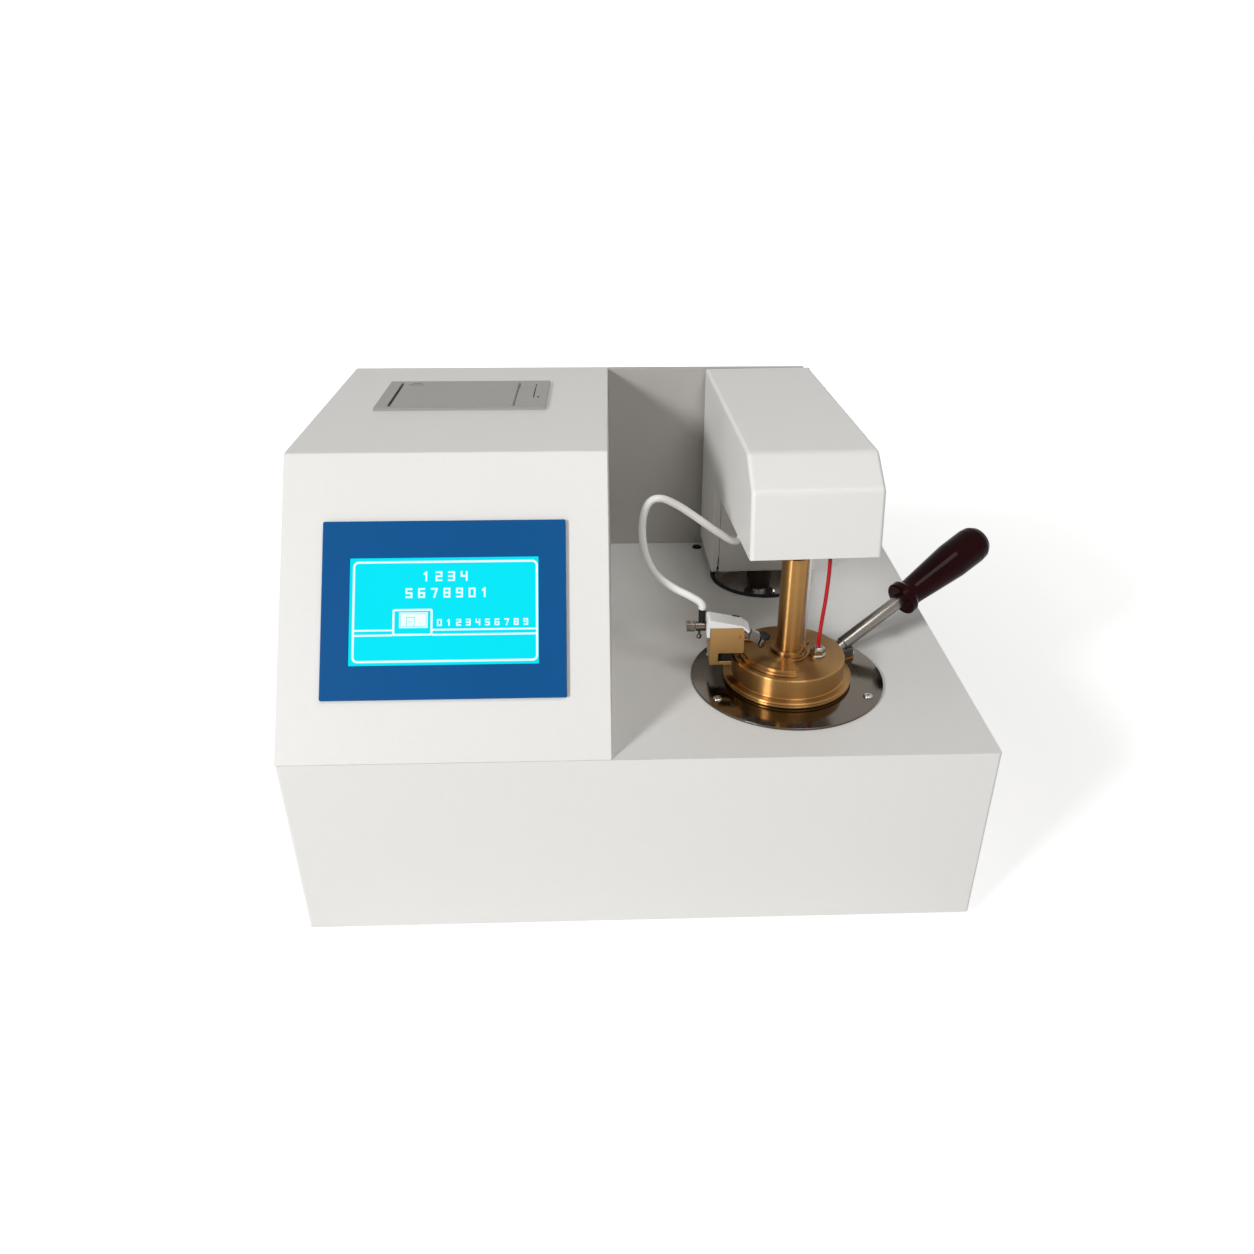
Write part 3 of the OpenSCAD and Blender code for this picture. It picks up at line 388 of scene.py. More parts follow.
def make_finishes(colours):
    """Builds every material once, under the name of its finish."""
    axis = (STOVE.x, STOVE.y, 0)
    made = [
        Finish("powder_coat", colours.paint, shade(colours.paint, 0.975), 9.0, 0.25)
        .rough(0.38, 0.5, 900.0).peel(1300.0, 0.035 * MM).peel(160.0, 0.05 * MM),
        # Painted shade: a darker copy of the powder coat, for the shaded wall behind the deck.
        Finish("wall_coat", colours.wall_painted_shade, None, 9.0, 0.25)
        .rough(0.42, 0.55, 900.0).peel(1300.0, 0.035 * MM),
        Finish("turned_brass", colours.brass, shade(colours.brass, 0.86), 30.0, 0.35, Metallic=1.0)
        .turned(axis, 2600.0, 0.0006 * MM, 0.28, 0.34).lathe_sheen(axis, 1.0),
        Finish("brass_sheet", (0.46, 0.27, 0.106), (0.4, 0.235, 0.09), 45.0, 0.3, Metallic=1.0)
        .rough(0.28, 0.42, 500.0, (1, 1, 9)).peel(700.0, 0.02 * MM, (1, 1, 12)),
        Finish("mirror_plate", colours.plate, shade(colours.plate, 0.8), 18.0, 0.1, Metallic=1.0)
        .turned(axis, 1400.0, 0.0006 * MM, 0.1, 0.16).scratched(0.1),
        # Painted light: a pale, non-metallic colour that stands in for the light the steel pan reflects
        # from the column above, in the shade of its well.
        Finish("pan_steel", (0.93, 0.87, 0.79), (0.82, 0.76, 0.69), 30.0, 0.2)
        .rough(0.3, 0.42, 260.0).scratched(0.1),
        Finish("brushed_steel", (0.225, 0.205, 0.185), (0.16, 0.147, 0.132), 60.0, 0.3, Metallic=1.0)
        .rough(0.24, 0.3, 500.0, (1, 1, 12)).peel(260.0, 0.004 * MM, (1, 1, 9)),
        Finish("plain_steel", (0.58, 0.57, 0.55), (0.47, 0.46, 0.45), 22.0, 0.3, Metallic=1.0)
        .rough(0.26, 0.42, 260.0, (1, 12, 1)).peel(500.0, 0.01 * MM, (1, 14, 1)),
        Finish("bright_steel", (0.66, 0.65, 0.63), (0.55, 0.54, 0.52), 30.0, 0.2, Metallic=1.0)
        .rough(0.12, 0.22, 300.0).scratched(0.2),
        Finish("chrome_plate", (0.47, 0.455, 0.44), (0.38, 0.37, 0.355), 24.0, 0.1, Metallic=1.0)
        .rough(0.05, 0.12, 200.0).scratched(0.15),
        Finish("dark_chrome", (0.15, 0.125, 0.1), (0.1, 0.083, 0.068), 24.0, 0.1, Metallic=1.0)
        .rough(0.06, 0.14, 300.0).scratched(0.15),
        Finish("cast_block", (0.10, 0.10, 0.10), (0.06, 0.06, 0.06), 80.0, 0.5)
        .rough(0.6, 0.8, 400.0).peel(420.0, 0.3 * MM),
        Finish("black_rubber", (0.009, 0.009, 0.009), (0.016, 0.015, 0.015),
               40.0, 0.5, Specular_IOR_Level=0.15)
        .rough(0.45, 0.62, 700.0).peel(1500.0, 0.03 * MM),
        Finish("hose_silicone", colours.hose, shade(colours.hose, 0.95), 60.0, 0.2, Coat_Weight=0.15)
        .rough(0.32, 0.45, 500.0).peel(420.0, 0.03 * MM),
        Finish("lead_sleeve", colours.lead, shade(colours.lead, 0.7),
               260.0, 0.2, Coat_Weight=0.1, Specular_IOR_Level=0.15)
        .rough(0.2, 0.3, 600.0).peel(500.0, 0.04 * MM, (1, 1, 0.2)),
        Finish("boot_rubber", (0.055, 0.043, 0.032), (0.04, 0.031, 0.024),
               40.0, 0.5, Specular_IOR_Level=0.3)
        .rough(0.3, 0.42, 700.0).peel(1500.0, 0.03 * MM),
        Finish("bezel_film", colours.bezel, shade(colours.bezel, 0.72), 7.0, 0.12, Specular_IOR_Level=0.12)
        .rough(0.3, 0.36, 900.0).peel(2600.0, 0.01 * MM),
        Finish("grey_moulding", colours.printer, shade(colours.printer, 0.93), 30.0, 0.5)
        .rough(0.46, 0.58, 1200.0).peel(2300.0, 0.04 * MM),
        Finish("black_moulding", (0.016, 0.016, 0.016), (0.026, 0.026, 0.026),
               40.0, 0.5, Specular_IOR_Level=0.2)
        .rough(0.38, 0.52, 1100.0).peel(2100.0, 0.03 * MM),
        Finish("white_moulding", (0.80, 0.80, 0.785), (0.74, 0.735, 0.715), 60.0, 0.3)
        .rough(0.3, 0.42, 700.0).peel(900.0, 0.03 * MM),
        Finish("red_rocker", (0.55, 0.015, 0.02), (0.45, 0.01, 0.015), 60.0, 0.2, Coat_Weight=0.3)
        .rough(0.2, 0.3, 600.0).peel(1500.0, 0.01 * MM),
        Finish("phenolic_grip", colours.grip, shade(colours.grip, 0.25),
               55.0, 0.05, Specular_IOR_Level=0.05)
        .rough(0.1, 0.16, 120.0).scratched(0.2),
        Finish("thermal_paper", (0.84, 0.84, 0.81), (0.80, 0.80, 0.77), 50.0, 0.5)
        .rough(0.6, 0.75, 700.0).peel(1400.0, 0.05 * MM, (1, 14, 1)),
        Finish("solder_mask", (0.012, 0.14, 0.06), (0.02, 0.10, 0.045), 240.0, 0.3, Coat_Weight=0.3)
        .rough(0.3, 0.4, 500.0).peel(600.0, 0.06 * MM),
        Finish("motor_enamel", (0.045, 0.046, 0.05), (0.06, 0.06, 0.065), 40.0, 0.4)
        .rough(0.32, 0.45, 600.0).peel(900.0, 0.04 * MM),
        Finish("insulation", (0.62, 0.55, 0.44), (0.52, 0.46, 0.37), 120.0, 0.6)
        .rough(0.75, 0.9, 500.0).peel(600.0, 0.2 * MM),
        # Near black for the printer's lamp, and as painted shade for the shadow in slots, in the cap's
        # notch and behind the bracket's mouth.
        Finish("dark_recess", (0.008, 0.008, 0.008), (0.014, 0.014, 0.014),
               50.0, 0.4, Specular_IOR_Level=0.1)
        .rough(0.6, 0.8, 500.0).peel(900.0, 0.03 * MM),
    ]
    finishes.update({finish.name: finish.material for finish in made})
    finishes["screen_light"] = lit_finish("screen_light", colours.screen, 0.9, 0.16)
    finishes["screen_marks"] = lit_finish("screen_marks", colours.marks, 0.98, 0.3)


def lit_finish(name, colour, dim, gloss):
    """A lit screen: its light drifts slightly, as behind a real panel."""
    finish = Finish(name, (0.0, 0.02, 0.025), (0.0, 0.015, 0.02), 20.0, 0.2, Specular_IOR_Level=0.05)
    finish.rough(gloss, gloss + 0.06, 500.0)
    tint = group_node(finish.tree, tint_group(), Scale=16.0, Fine=0.05)
    tint.inputs["Colour"].default_value = rgba(colour)
    tint.inputs["Other"].default_value = rgba(colour, dim)
    wire(tint, "Colour", finish.shader, "Emission Color")
    finish.shader.inputs["Emission Strength"].default_value = 1.0
    return finish.material


SLOT_FINISH = {
    "white_paint": "powder_coat", "plain_steel": "plain_steel",
    "stainless": "bright_steel", "chromed": "chrome_plate", "brass": "turned_brass",
    "cast_block": "cast_block", "black_rubber": "black_rubber", "white_silicone": "hose_silicone",
    "red_lead": "lead_sleeve", "blue_film": "bezel_film", "screen_glass": "screen_light",
    "grey_plastic": "grey_moulding", "black_plastic": "black_moulding", "white_plastic": "white_moulding",
    "red_plastic": "red_rocker", "bakelite": "phenolic_grip", "paper": "thermal_paper",
    "circuit_board": "solder_mask", "motor_case": "motor_enamel", "insulation": "insulation",
}


# Making pieces

# Radii under this one lie on the axis, and corners wider than this one need no rounding
ON_AXIS = 1e-7
NEARLY_STRAIGHT = math.radians(176)
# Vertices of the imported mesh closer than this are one, and faces flatter than this are one face
SAME_PLACE = 0.002 * MM
SAME_FLAT = math.radians(0.6)
# Weighted Normal's setting that lets the largest face decide
MOST_BY_AREA = 100
# Rims stand further than this from the stove's axis, in millimetres
INSIDE_RIMS = 24.9
# A shell's last stretch towards the back, whose corners stay fine
REAR_END = 8 * MM


def add_piece(name, mesh, finish, body, nodes=(), slot=None):
    """Links a finished mesh as a piece, on its body, in place of the CAD nodes it stands for."""
    if name in bpy.data.objects:
        raise RuntimeError(f"there is already a piece named {name}")
    piece = bpy.data.objects.new(name, mesh)
    mesh.name = name
    bpy.context.scene.collection.objects.link(piece)
    if not mesh.materials:
        for one in [finish] if isinstance(finish, str) else finish:
            mesh.materials.append(finishes[one])
    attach(piece, body)
    if nodes:
        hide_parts(*nodes)
        slot = slot or SLOT_OF[nodes[0]]
    return piece


def mesh_from(bm, smooth=True):
    """Turns a finished bmesh into a mesh, and frees it."""
    mesh = bpy.data.meshes.new("piece")
    bm.normal_update()
    bm.to_mesh(mesh)
    bm.free()
    if smooth:
        mesh.shade_smooth()
    return mesh


def soften(piece, width, segments=3, angle=32):
    """Rounds a piece's edges and keeps its flats flat."""
    bevel = piece.modifiers.new("Rounded edges", "BEVEL")
    bevel.width = width
    bevel.segments = segments
    bevel.limit_method = "ANGLE"
    bevel.angle_limit = math.radians(angle)
    bevel.use_clamp_overlap = True
    bevel.harden_normals = True
    return piece


def lowered(node, *steps):
    """A CAD copy with its rims moved: each step is a low and a high mark and a shift, in millimetres."""
    bm = cad_copy(node)
    for vert in bm.verts:
        out = math.hypot(vert.co.x - STOVE.x, vert.co.y - STOVE.y)
        level = (vert.co.z - DECK) / MM
        for low, high, shift in steps:
            if out > INSIDE_RIMS * MM and low < level < high:
                vert.co.z += shift * MM
                break
    return bm


def soften_shell(piece, wide, fine, thick=5 * MM, angle=12):
    """Rounds a sheet-metal shell: its outer corners wide, its rims, thin walls and rear end fine."""
    rear = max(corner[1] for corner in piece.bound_box) - REAR_END
    bm = bmesh.new()
    bm.from_mesh(piece.data)
    weight = bm.edges.layers.float.new("bevel_weight_edge")
    across = {face: 2 * face.calc_area() / face.calc_perimeter() for face in bm.faces}
    for edge in bm.edges:
        if len(edge.link_faces) == 2 and edge.calc_face_angle(0) > math.radians(angle):
            outer = edge.is_convex and all(across[face] > thick for face in edge.link_faces)
            outer = outer and min(vert.co.y for vert in edge.verts) < rear
            edge[weight] = 1.0 if outer else fine / wide
    bm.to_mesh(piece.data)
    bm.free()
    soften(piece, wide, 4).modifiers[0].limit_method = "WEIGHT"


def cad_copy(*nodes):
    """The merged outer shape of CAD nodes, with the tessellation's flat seams dissolved."""
    bm = bmesh.new()
    for node in nodes:
        bm.from_mesh(frame["nodes"][node].data)
    bmesh.ops.remove_doubles(bm, verts=bm.verts, dist=SAME_PLACE)
    bmesh.ops.dissolve_limit(
        bm, angle_limit=SAME_FLAT, use_dissolve_boundaries=False, verts=bm.verts, edges=bm.edges)
    return bm


def settled(mesh, modify):
    """The plain mesh that a seed's modifiers make of a mesh."""
    seed = bpy.data.objects.new("seed", mesh)
    bpy.context.scene.collection.objects.link(seed)
    modify(seed)
    bpy.context.view_layer.update()
    made = bpy.data.meshes.new_from_object(seed.evaluated_get(bpy.context.evaluated_depsgraph_get()))
    seed.modifiers.clear()
    bpy.data.objects.remove(seed)
    return made


def dress_mesh(node, bm, round_off, finish=None):
    """A finished mesh in a CAD node's place, its edges rounded and its wide flats kept flat."""
    def modify(seed):
        round_off(seed)
        seed.modifiers.new("Flat normals", "WEIGHTED_NORMAL").weight = MOST_BY_AREA
    mesh = settled(mesh_from(bm), modify)
    return add_piece(f"{node}_finished", mesh, finish or SLOT_FINISH[SLOT_OF[node]], BODY_OF[node], [node])


def dress(node, finish=None, width=0.4 * MM, segments=2, angle=32):
    """A CAD node with rounded edges and its finish, in the node's own place."""
    return dress_mesh(node, cad_copy(node), lambda seed: soften(seed, width, segments, angle), finish)


def rounded(outline, radius, steps=4):
    """A closed outline with each of its corners rounded, by a radius of its own where it has one."""
    result = []
    count = len(outline)
    for i, point in enumerate(outline):
        here = Vector(point[:2])
        r = point[2] if len(point) > 2 else radius
        before = Vector(outline[i - 1][:2]) - here
        after = Vector(outline[(i + 1) % count][:2]) - here
        if r <= 0 or here.x < ON_AXIS:
            result.append(here)
            continue
        angle = before.angle(after)
        if angle > NEARLY_STRAIGHT:
            result.append(here)
            continue
        reach = min(r / math.tan(angle / 2), before.length * 0.49, after.length * 0.49)
        start = here + before.normalized() * reach
        end = here + after.normalized() * reach
        for k in range(steps + 1):
            t = k / steps
            result.append(start * (1 - t) ** 2 + here * 2 * t * (1 - t) + end * t * t)
    return result


def spin_mesh(outline, radius, sides, place=None, steps=4):
    """A closed outline of radius and height in millimetres, with its corners rounded, spun round Z."""
    bm = bmesh.new()
    rings = []
    for p in [point * MM for point in rounded(outline, radius, steps)]:
        if p[0] < ON_AXIS:
            rings.append([bm.verts.new((0, 0, p[1]))])
        else:
            rings.append([
                bm.verts.new((p[0] * math.cos(a), p[0] * math.sin(a), p[1]))
                for a in [2 * math.pi * k / sides for k in range(sides)]])
    for low, high in zip(rings, rings[1:] + rings[:1]):
        if len(low) == 1 and len(high) == 1:
            continue
        for k in range(sides):
            n = (k + 1) % sides
            if len(low) == 1:
                bm.faces.new((low[0], high[k], high[n]))
            elif len(high) == 1:
                bm.faces.new((low[k], high[0], low[n]))
            else:
                bm.faces.new((low[k], low[n], high[n], high[k]))
    if place:
        bm.transform(place)
    bmesh.ops.recalc_face_normals(bm, faces=bm.faces)
    return mesh_from(bm)


def turned_piece(name, outline, finish, body, nodes=(), place=None,
                 radius=0.3, sides=None, slot=None, steps=4):
    """A turned piece, over the stove unless it has a place of its own."""
    sides = sides or bpy.context.scene.tester_sizes.turned_sides
    place = place or Matrix.Translation(over_stove())
    return add_piece(name, spin_mesh(outline, radius, sides, place, steps), finish, body, nodes, slot)


def prism(bm, outline, low, high, place=Matrix.Identity(4)):
    """Adds an upright prism over a flat outline, all in metres."""
    lower = [bm.verts.new(place @ Vector((p[0], p[1], low))) for p in outline]
    upper = [bm.verts.new(place @ Vector((p[0], p[1], high))) for p in outline]
    faces = [bm.faces.new(upper), bm.faces.new(list(reversed(lower)))]
    count = len(outline)
    for k in range(count):
        n = (k + 1) % count
        faces.append(bm.faces.new((lower[k], lower[n], upper[n], upper[k])))
    bmesh.ops.recalc_face_normals(bm, faces=faces)


def box_outline(x0, y0, x1, y1):
    """The corners of an upright rectangle."""
    return [(x0, y0), (x1, y0), (x1, y1), (x0, y1)]


def sector_outline(r_out, r_in, start, end, steps=40):
    """Outline in metres of part of a ring, its radii in millimetres and its ends in degrees."""
    turn = [math.radians(start + (end - start) * k / steps) for k in range(steps + 1)]
    outer = [(r_out * MM * math.cos(a), r_out * MM * math.sin(a)) for a in turn]
    inner = [(r_in * MM * math.cos(a), r_in * MM * math.sin(a)) for a in reversed(turn)]
    return outer + inner


def smooth_path(points, steps=8):
    """Catmull-Rom path through points in metres."""
    padded = [points[0] * 2 - points[1], *points, points[-1] * 2 - points[-2]]
    path = []
    for a, b, c, d in zip(padded, padded[1:], padded[2:], padded[3:]):
        for k in range(steps):
            t = k / steps
            path.append(0.5 * (2 * b + (c - a) * t + (2 * a - 5 * b + 4 * c - d) * t * t
                               + (3 * b - a - 3 * c + d) * t ** 3))
    path.append(points[-1].copy())
    return path


# Geometry Nodes for what repeats or follows a path


def input_id(tree, name):
    """The key under which a modifier keeps the value of a tree's input."""
    for item in tree.interface.items_tree:
        if item.item_type == "SOCKET" and item.in_out == "INPUT" and item.name == name:
            return item.identifier
    raise RuntimeError(f"{tree.name} has no input named {name}")


def close_geometry_tree(tree, given, out, source, output):
    """Ends a tree in Realize Instances and Set Material."""
    realize = add_node(tree, "GeometryNodeRealizeInstances")
    paint = add_node(tree, "GeometryNodeSetMaterial")
    wire(source, output, realize, "Geometry")
    wire(realize, "Geometry", paint, "Geometry")
    wire(given, "Material", paint, "Material")
    wire(paint, "Geometry", out, "Geometry")


@made_once("Parts on a grid", "Geometry", [
    ("Geometry", "Geometry"), ("Columns", "Int", 2), ("Rows", "Int", 2),
    ("Width", "Float", 0.1), ("Depth", "Float", 0.1), ("Material", "Material")],
    [("Geometry", "Geometry")])
def grid_tree(tree, given, out):
    """Sets copies of the geometry on a flat grid of rows and columns."""
    grid = add_node(tree, "GeometryNodeMeshGrid")
    instance = add_node(tree, "GeometryNodeInstanceOnPoints")
    wire(given, "Width", grid, "Size X")
    wire(given, "Depth", grid, "Size Y")
    wire(given, "Columns", grid, "Vertices X")
    wire(given, "Rows", grid, "Vertices Y")
    wire(grid, "Mesh", instance, "Points")
    wire(given, "Geometry", instance, "Instance")
    close_geometry_tree(tree, given, out, instance, "Instances")


@made_once("Tube along a path", "Geometry", [
    ("Geometry", "Geometry"), ("Radius", "Float", 0.002), ("Sides", "Int", 20), ("Material", "Material")],
    [("Geometry", "Geometry")])
def tube_tree(tree, given, out):
    """Sweeps a round section along the edges of the geometry."""
    curve = add_node(tree, "GeometryNodeMeshToCurve")
    section = add_node(tree, "GeometryNodeCurvePrimitiveCircle")
    sweep = add_node(tree, "GeometryNodeCurveToMesh", Fill_Caps=True)
    smooth = add_node(tree, "GeometryNodeSetShadeSmooth")
    wire(given, "Geometry", curve, "Mesh")
    wire(given, "Radius", section, "Radius")
    wire(given, "Sides", section, "Resolution")
    wire(curve, "Curve", sweep, "Curve")
    wire(section, "Curve", sweep, "Profile Curve")
    wire(sweep, "Mesh", smooth, "Geometry")
    close_geometry_tree(tree, given, out, smooth, "Geometry")


def grown_mesh(mesh, tree, finish, place=None, **values):
    """The plain mesh that a tree makes of a seed mesh, moved to its place."""
    def modify(seed):
        modifier = seed.modifiers.new("Pattern", "NODES")
        modifier.node_group = tree
        for name, value in values.items():
            modifier[input_id(tree, name.replace("_", " "))] = value
        modifier[input_id(tree, "Material")] = finishes[finish]
        seed.data.update()
    made = settled(mesh, modify)
    if not made.polygons:
        raise RuntimeError(f"{tree.name} made nothing")
    if place:
        made.transform(place)
    return made


def tube_mesh(path, radius, finish):
    """A round tube along a path."""
    spine = bpy.data.meshes.new("spine")
    spine.from_pydata([tuple(p) for p in path], [(k, k + 1) for k in range(len(path) - 1)], [])
    return grown_mesh(spine, tube_tree(), finish, Radius=radius, Sides=20)


def grid_piece(name, mesh, finish, place, columns, rows, width, depth, nodes=(), slot=None):
    """A piece on the case, made of copies of a mesh on a grid of the width and depth given in metres."""
    grown = grown_mesh(mesh, grid_tree(), finish, place,
                       Columns=columns, Rows=rows, Width=width, Depth=depth)
    add_piece(name, grown, finish, "case", nodes, slot)


def screw_mesh(radius, height, drive, sides=24):
    """A domed screw head with a hexagon socket, standing on Z, in metres."""
    bm = bmesh.new()
    rings = []
    face = math.pi / 3
    for r, z, in_socket in [
            (drive, height * 0.35, True), (drive, height * 0.94, True), (radius * 0.66, height, False),
            (radius * 0.9, height * 0.8, False), (radius, height * 0.4, False), (radius, -0.1 * MM, False)]:
        ring = []
        for k in range(sides):
            a = 2 * math.pi * k / sides
            reach = r * math.cos(face / 2) / math.cos(a % face - face / 2) if in_socket else r
            ring.append(bm.verts.new((reach * math.cos(a), reach * math.sin(a), z)))
        rings.append(ring)
    for low, high in zip(rings, rings[1:]):
        for k in range(sides):
            n = (k + 1) % sides
            bm.faces.new((low[k], low[n], high[n], high[k]))
    bm.faces.new(rings[0])
    bm.faces.new(list(reversed(rings[-1])))
    bmesh.ops.recalc_face_normals(bm, faces=bm.faces)
    mesh = mesh_from(bm)
    mesh.set_sharp_from_angle(angle=math.radians(40))
    return mesh


# Stage, camera and light

# Name, place, width, height and power of each lamp, the point that they all face, and the light all round
LAMPS = (
    ("key", (-2.4, -2.28, 1.7), 0.6, 0.6, 74.0),
    ("above", (0.3, -0.5, 1.2), 0.4, 0.4, 3.7),
    ("strip", (-1.05, -1.4, 0.25), 0.1, 0.8, 5.0),
)
LAMP_AIM = (0.03, 0.0, 0.12)
AMBIENT = 0.19
AMBIENT_COLOUR = (1.0, 0.975, 0.94, 1)

# The camera that was fitted to the photo: its place from the case's corner in millimetres, its turns in
# degrees, and its focal length and optical centre in pixels of a square picture of this many
CAMERA_PLACE = (188.3, -449.5, 454.8)
CAMERA_TURNS = (60.20, -0.21, -2.06)
PICTURE, FOCAL, CENTRE = 1254, 999.43, (649.39, 649.07)
SENSOR = 36

# How far from the middle of the floor its glow begins to rise and is full, and its low and full strength
FLOOR_GLOW = {"From_Min": 0.3, "From_Max": 1.2, "To_Min": 0.55, "To_Max": 1.0}


def make_camera():
    """The camera, with the picture's middle shifted to where the optical centre lies."""
    data = bpy.data.cameras.new("camera")
    camera = bpy.data.objects.new("camera", data)
    bpy.context.scene.collection.objects.link(camera)
    camera.location = case_point(*CAMERA_PLACE)
    camera.rotation_euler = [math.radians(a) for a in CAMERA_TURNS]
    data.sensor_width = SENSOR
    data.lens = FOCAL / PICTURE * SENSOR
    data.shift_x = (PICTURE / 2 - CENTRE[0]) / PICTURE
    data.shift_y = (CENTRE[1] - PICTURE / 2) / PICTURE
    data.clip_start = 0.01
    data.clip_end = 50
    bpy.context.scene.camera = camera


def make_lamp(name, place, width, height, power):
    """A rectangular lamp that faces the aim of all lamps."""
    data = bpy.data.lights.new(name, "AREA")
    data.shape = "RECTANGLE"
    data.size, data.size_y = width, height
    data.energy = power
    light = bpy.data.objects.new(name, data)
    bpy.context.scene.collection.objects.link(light)
    light.location = place
    light.rotation_euler = (Vector(LAMP_AIM) - Vector(place)).to_track_quat("-Z", "Y").to_euler()


def seeing_ray(tree):
    """1 for the rays that see the surroundings: straight, in metal and through glass."""
    ray = add_node(tree, "ShaderNodeLightPath")
    mirrored, either = [add_node(tree, "ShaderNodeMath", "MAXIMUM") for _ in range(2)]
    wire(ray, "Is Glossy Ray", mirrored, 0)
    wire(ray, "Is Transmission Ray", mirrored, 1)
    wire(ray, "Is Camera Ray", either, 0)
    wire(mirrored, 0, either, 1)
    return either


def make_world():
    """White surroundings to the eye and in reflections, that give a dimmer and warmer light."""
    world = bpy.data.worlds.new("studio")
    world.use_nodes = True
    tree = world.node_tree
    tree.nodes.clear()
    out = add_node(tree, "ShaderNodeOutputWorld")
    mix = add_node(tree, "ShaderNodeMixShader")
    seen = add_node(tree, "ShaderNodeBackground", Color=(1, 1, 1, 1), Strength=1.0)
    light = add_node(tree, "ShaderNodeBackground", Color=AMBIENT_COLOUR, Strength=AMBIENT)
    wire(seeing_ray(tree), 0, mix, 0)
    wire(light, 0, mix, 1)
    wire(seen, 0, mix, 2)
    wire(mix, 0, out, "Surface")
    bpy.context.scene.world = world


def floor_material():
    """Matt white floor, a little brighter to the camera, that keeps the object's shadow."""
    material = bpy.data.materials.new("studio_floor")
    material.use_nodes = True
    tree = material.node_tree
    tree.nodes.clear()
    out = add_node(tree, "ShaderNodeOutputMaterial")
    matt = add_node(tree, "ShaderNodeBsdfDiffuse", Color=(0.86, 0.86, 0.86, 1))
    glow = add_node(tree, "ShaderNodeEmission")
    place = add_node(tree, "ShaderNodeTexCoord")
    away = add_node(tree, "ShaderNodeVectorMath", "LENGTH")
    fade = add_node(tree, "ShaderNodeMapRange", **FLOOR_GLOW)
    level = add_node(tree, "ShaderNodeMath", "MULTIPLY")
    both = add_node(tree, "ShaderNodeAddShader")
    wire(place, "Object", away, 0)
    wire(away, "Value", fade, "Value")
    wire(seeing_ray(tree), 0, level, 0)
    wire(fade, "Result", level, 1)
    wire(level, 0, glow, "Strength")
    wire(matt, 0, both, 0)
    wire(glow, 0, both, 1)
    wire(both, 0, out, "Surface")
    return material


class TESTER_OT_stage(bpy.types.Operator):
    """Sets the floor, the light and the camera"""

    bl_idname = "tester.stage"
    bl_label = "Stage"

    def execute(self, context):
        make_camera()
        make_world()
        bm = bmesh.new()
        bmesh.ops.create_circle(bm, cap_ends=True, segments=96, radius=6.0)
        mesh = mesh_from(bm, smooth=False)
        floor = bpy.data.objects.new("floor", mesh)
        mesh.materials.append(floor_material())
        context.scene.collection.objects.link(floor)
        for row in LAMPS:
            make_lamp(*row)
        context.scene.view_settings.view_transform = "Standard"
        return {"FINISHED"}


class TESTER_OT_finishes(bpy.types.Operator):
    """Makes the materials, and gives every CAD node the finish of its slot"""

    bl_idname = "tester.finishes"
    bl_label = "Finishes"

    def execute(self, context):
        make_finishes(context.scene.tester_colours)
        for node, piece in frame["nodes"].items():
            if not piece.data.materials:
                piece.data.materials.append(None)
            for k in range(len(piece.material_slots)):
                piece.material_slots[k].material = finishes[SLOT_FINISH[SLOT_OF[node]]]
        return {"FINISHED"}


# Routes of the two cords, in millimetres from the case's corner, as the solids have them
HOSE_ROUTE = [
    (270, 139, 212), (269.6, 138.6, 206), (268, 137, 199), (263, 134, 199), (252, 131, 207),
    (238, 126, 219), (227, 122, 228), (217, 118, 234), (210, 116, 233), (206, 113, 226),
    (205, 109, 215), (207, 105, 203), (213, 101, 192), (223, 97, 185), (233, 93, 181),
    (239, 91, 178), (241, 90, 175.5), (241, 90, 173.5)]
LEAD_ROUTE = [
    (312.6, 82, 149.6), (312.8, 82, 156), (313.6, 83, 168), (315, 84.6, 182),
    (316, 87, 196), (316.4, 89, 205), (316.4, 90, 215)]


class TESTER_OT_cords(bpy.types.Operator):
    """Lays the gas hose and the sensor's lead along their routes"""

    bl_idname = "tester.cords"
    bl_label = "Hose and lead"

    def execute(self, context):
        sizes = context.scene.tester_sizes
        for name, route, radius, finish, stiffness in [
                ("gas_hose", HOSE_ROUTE, sizes.hose_radius, "hose_silicone", "medium"),
                ("sensor_lead", LEAD_ROUTE, sizes.lead_radius, "lead_sleeve", "stiff")]:
            path = smooth_path([case_point(*p) for p in route])
            piece = add_piece(f"{name}_finished", tube_mesh(path, radius, finish), finish, "arm", [name])
        return {"FINISHED"}


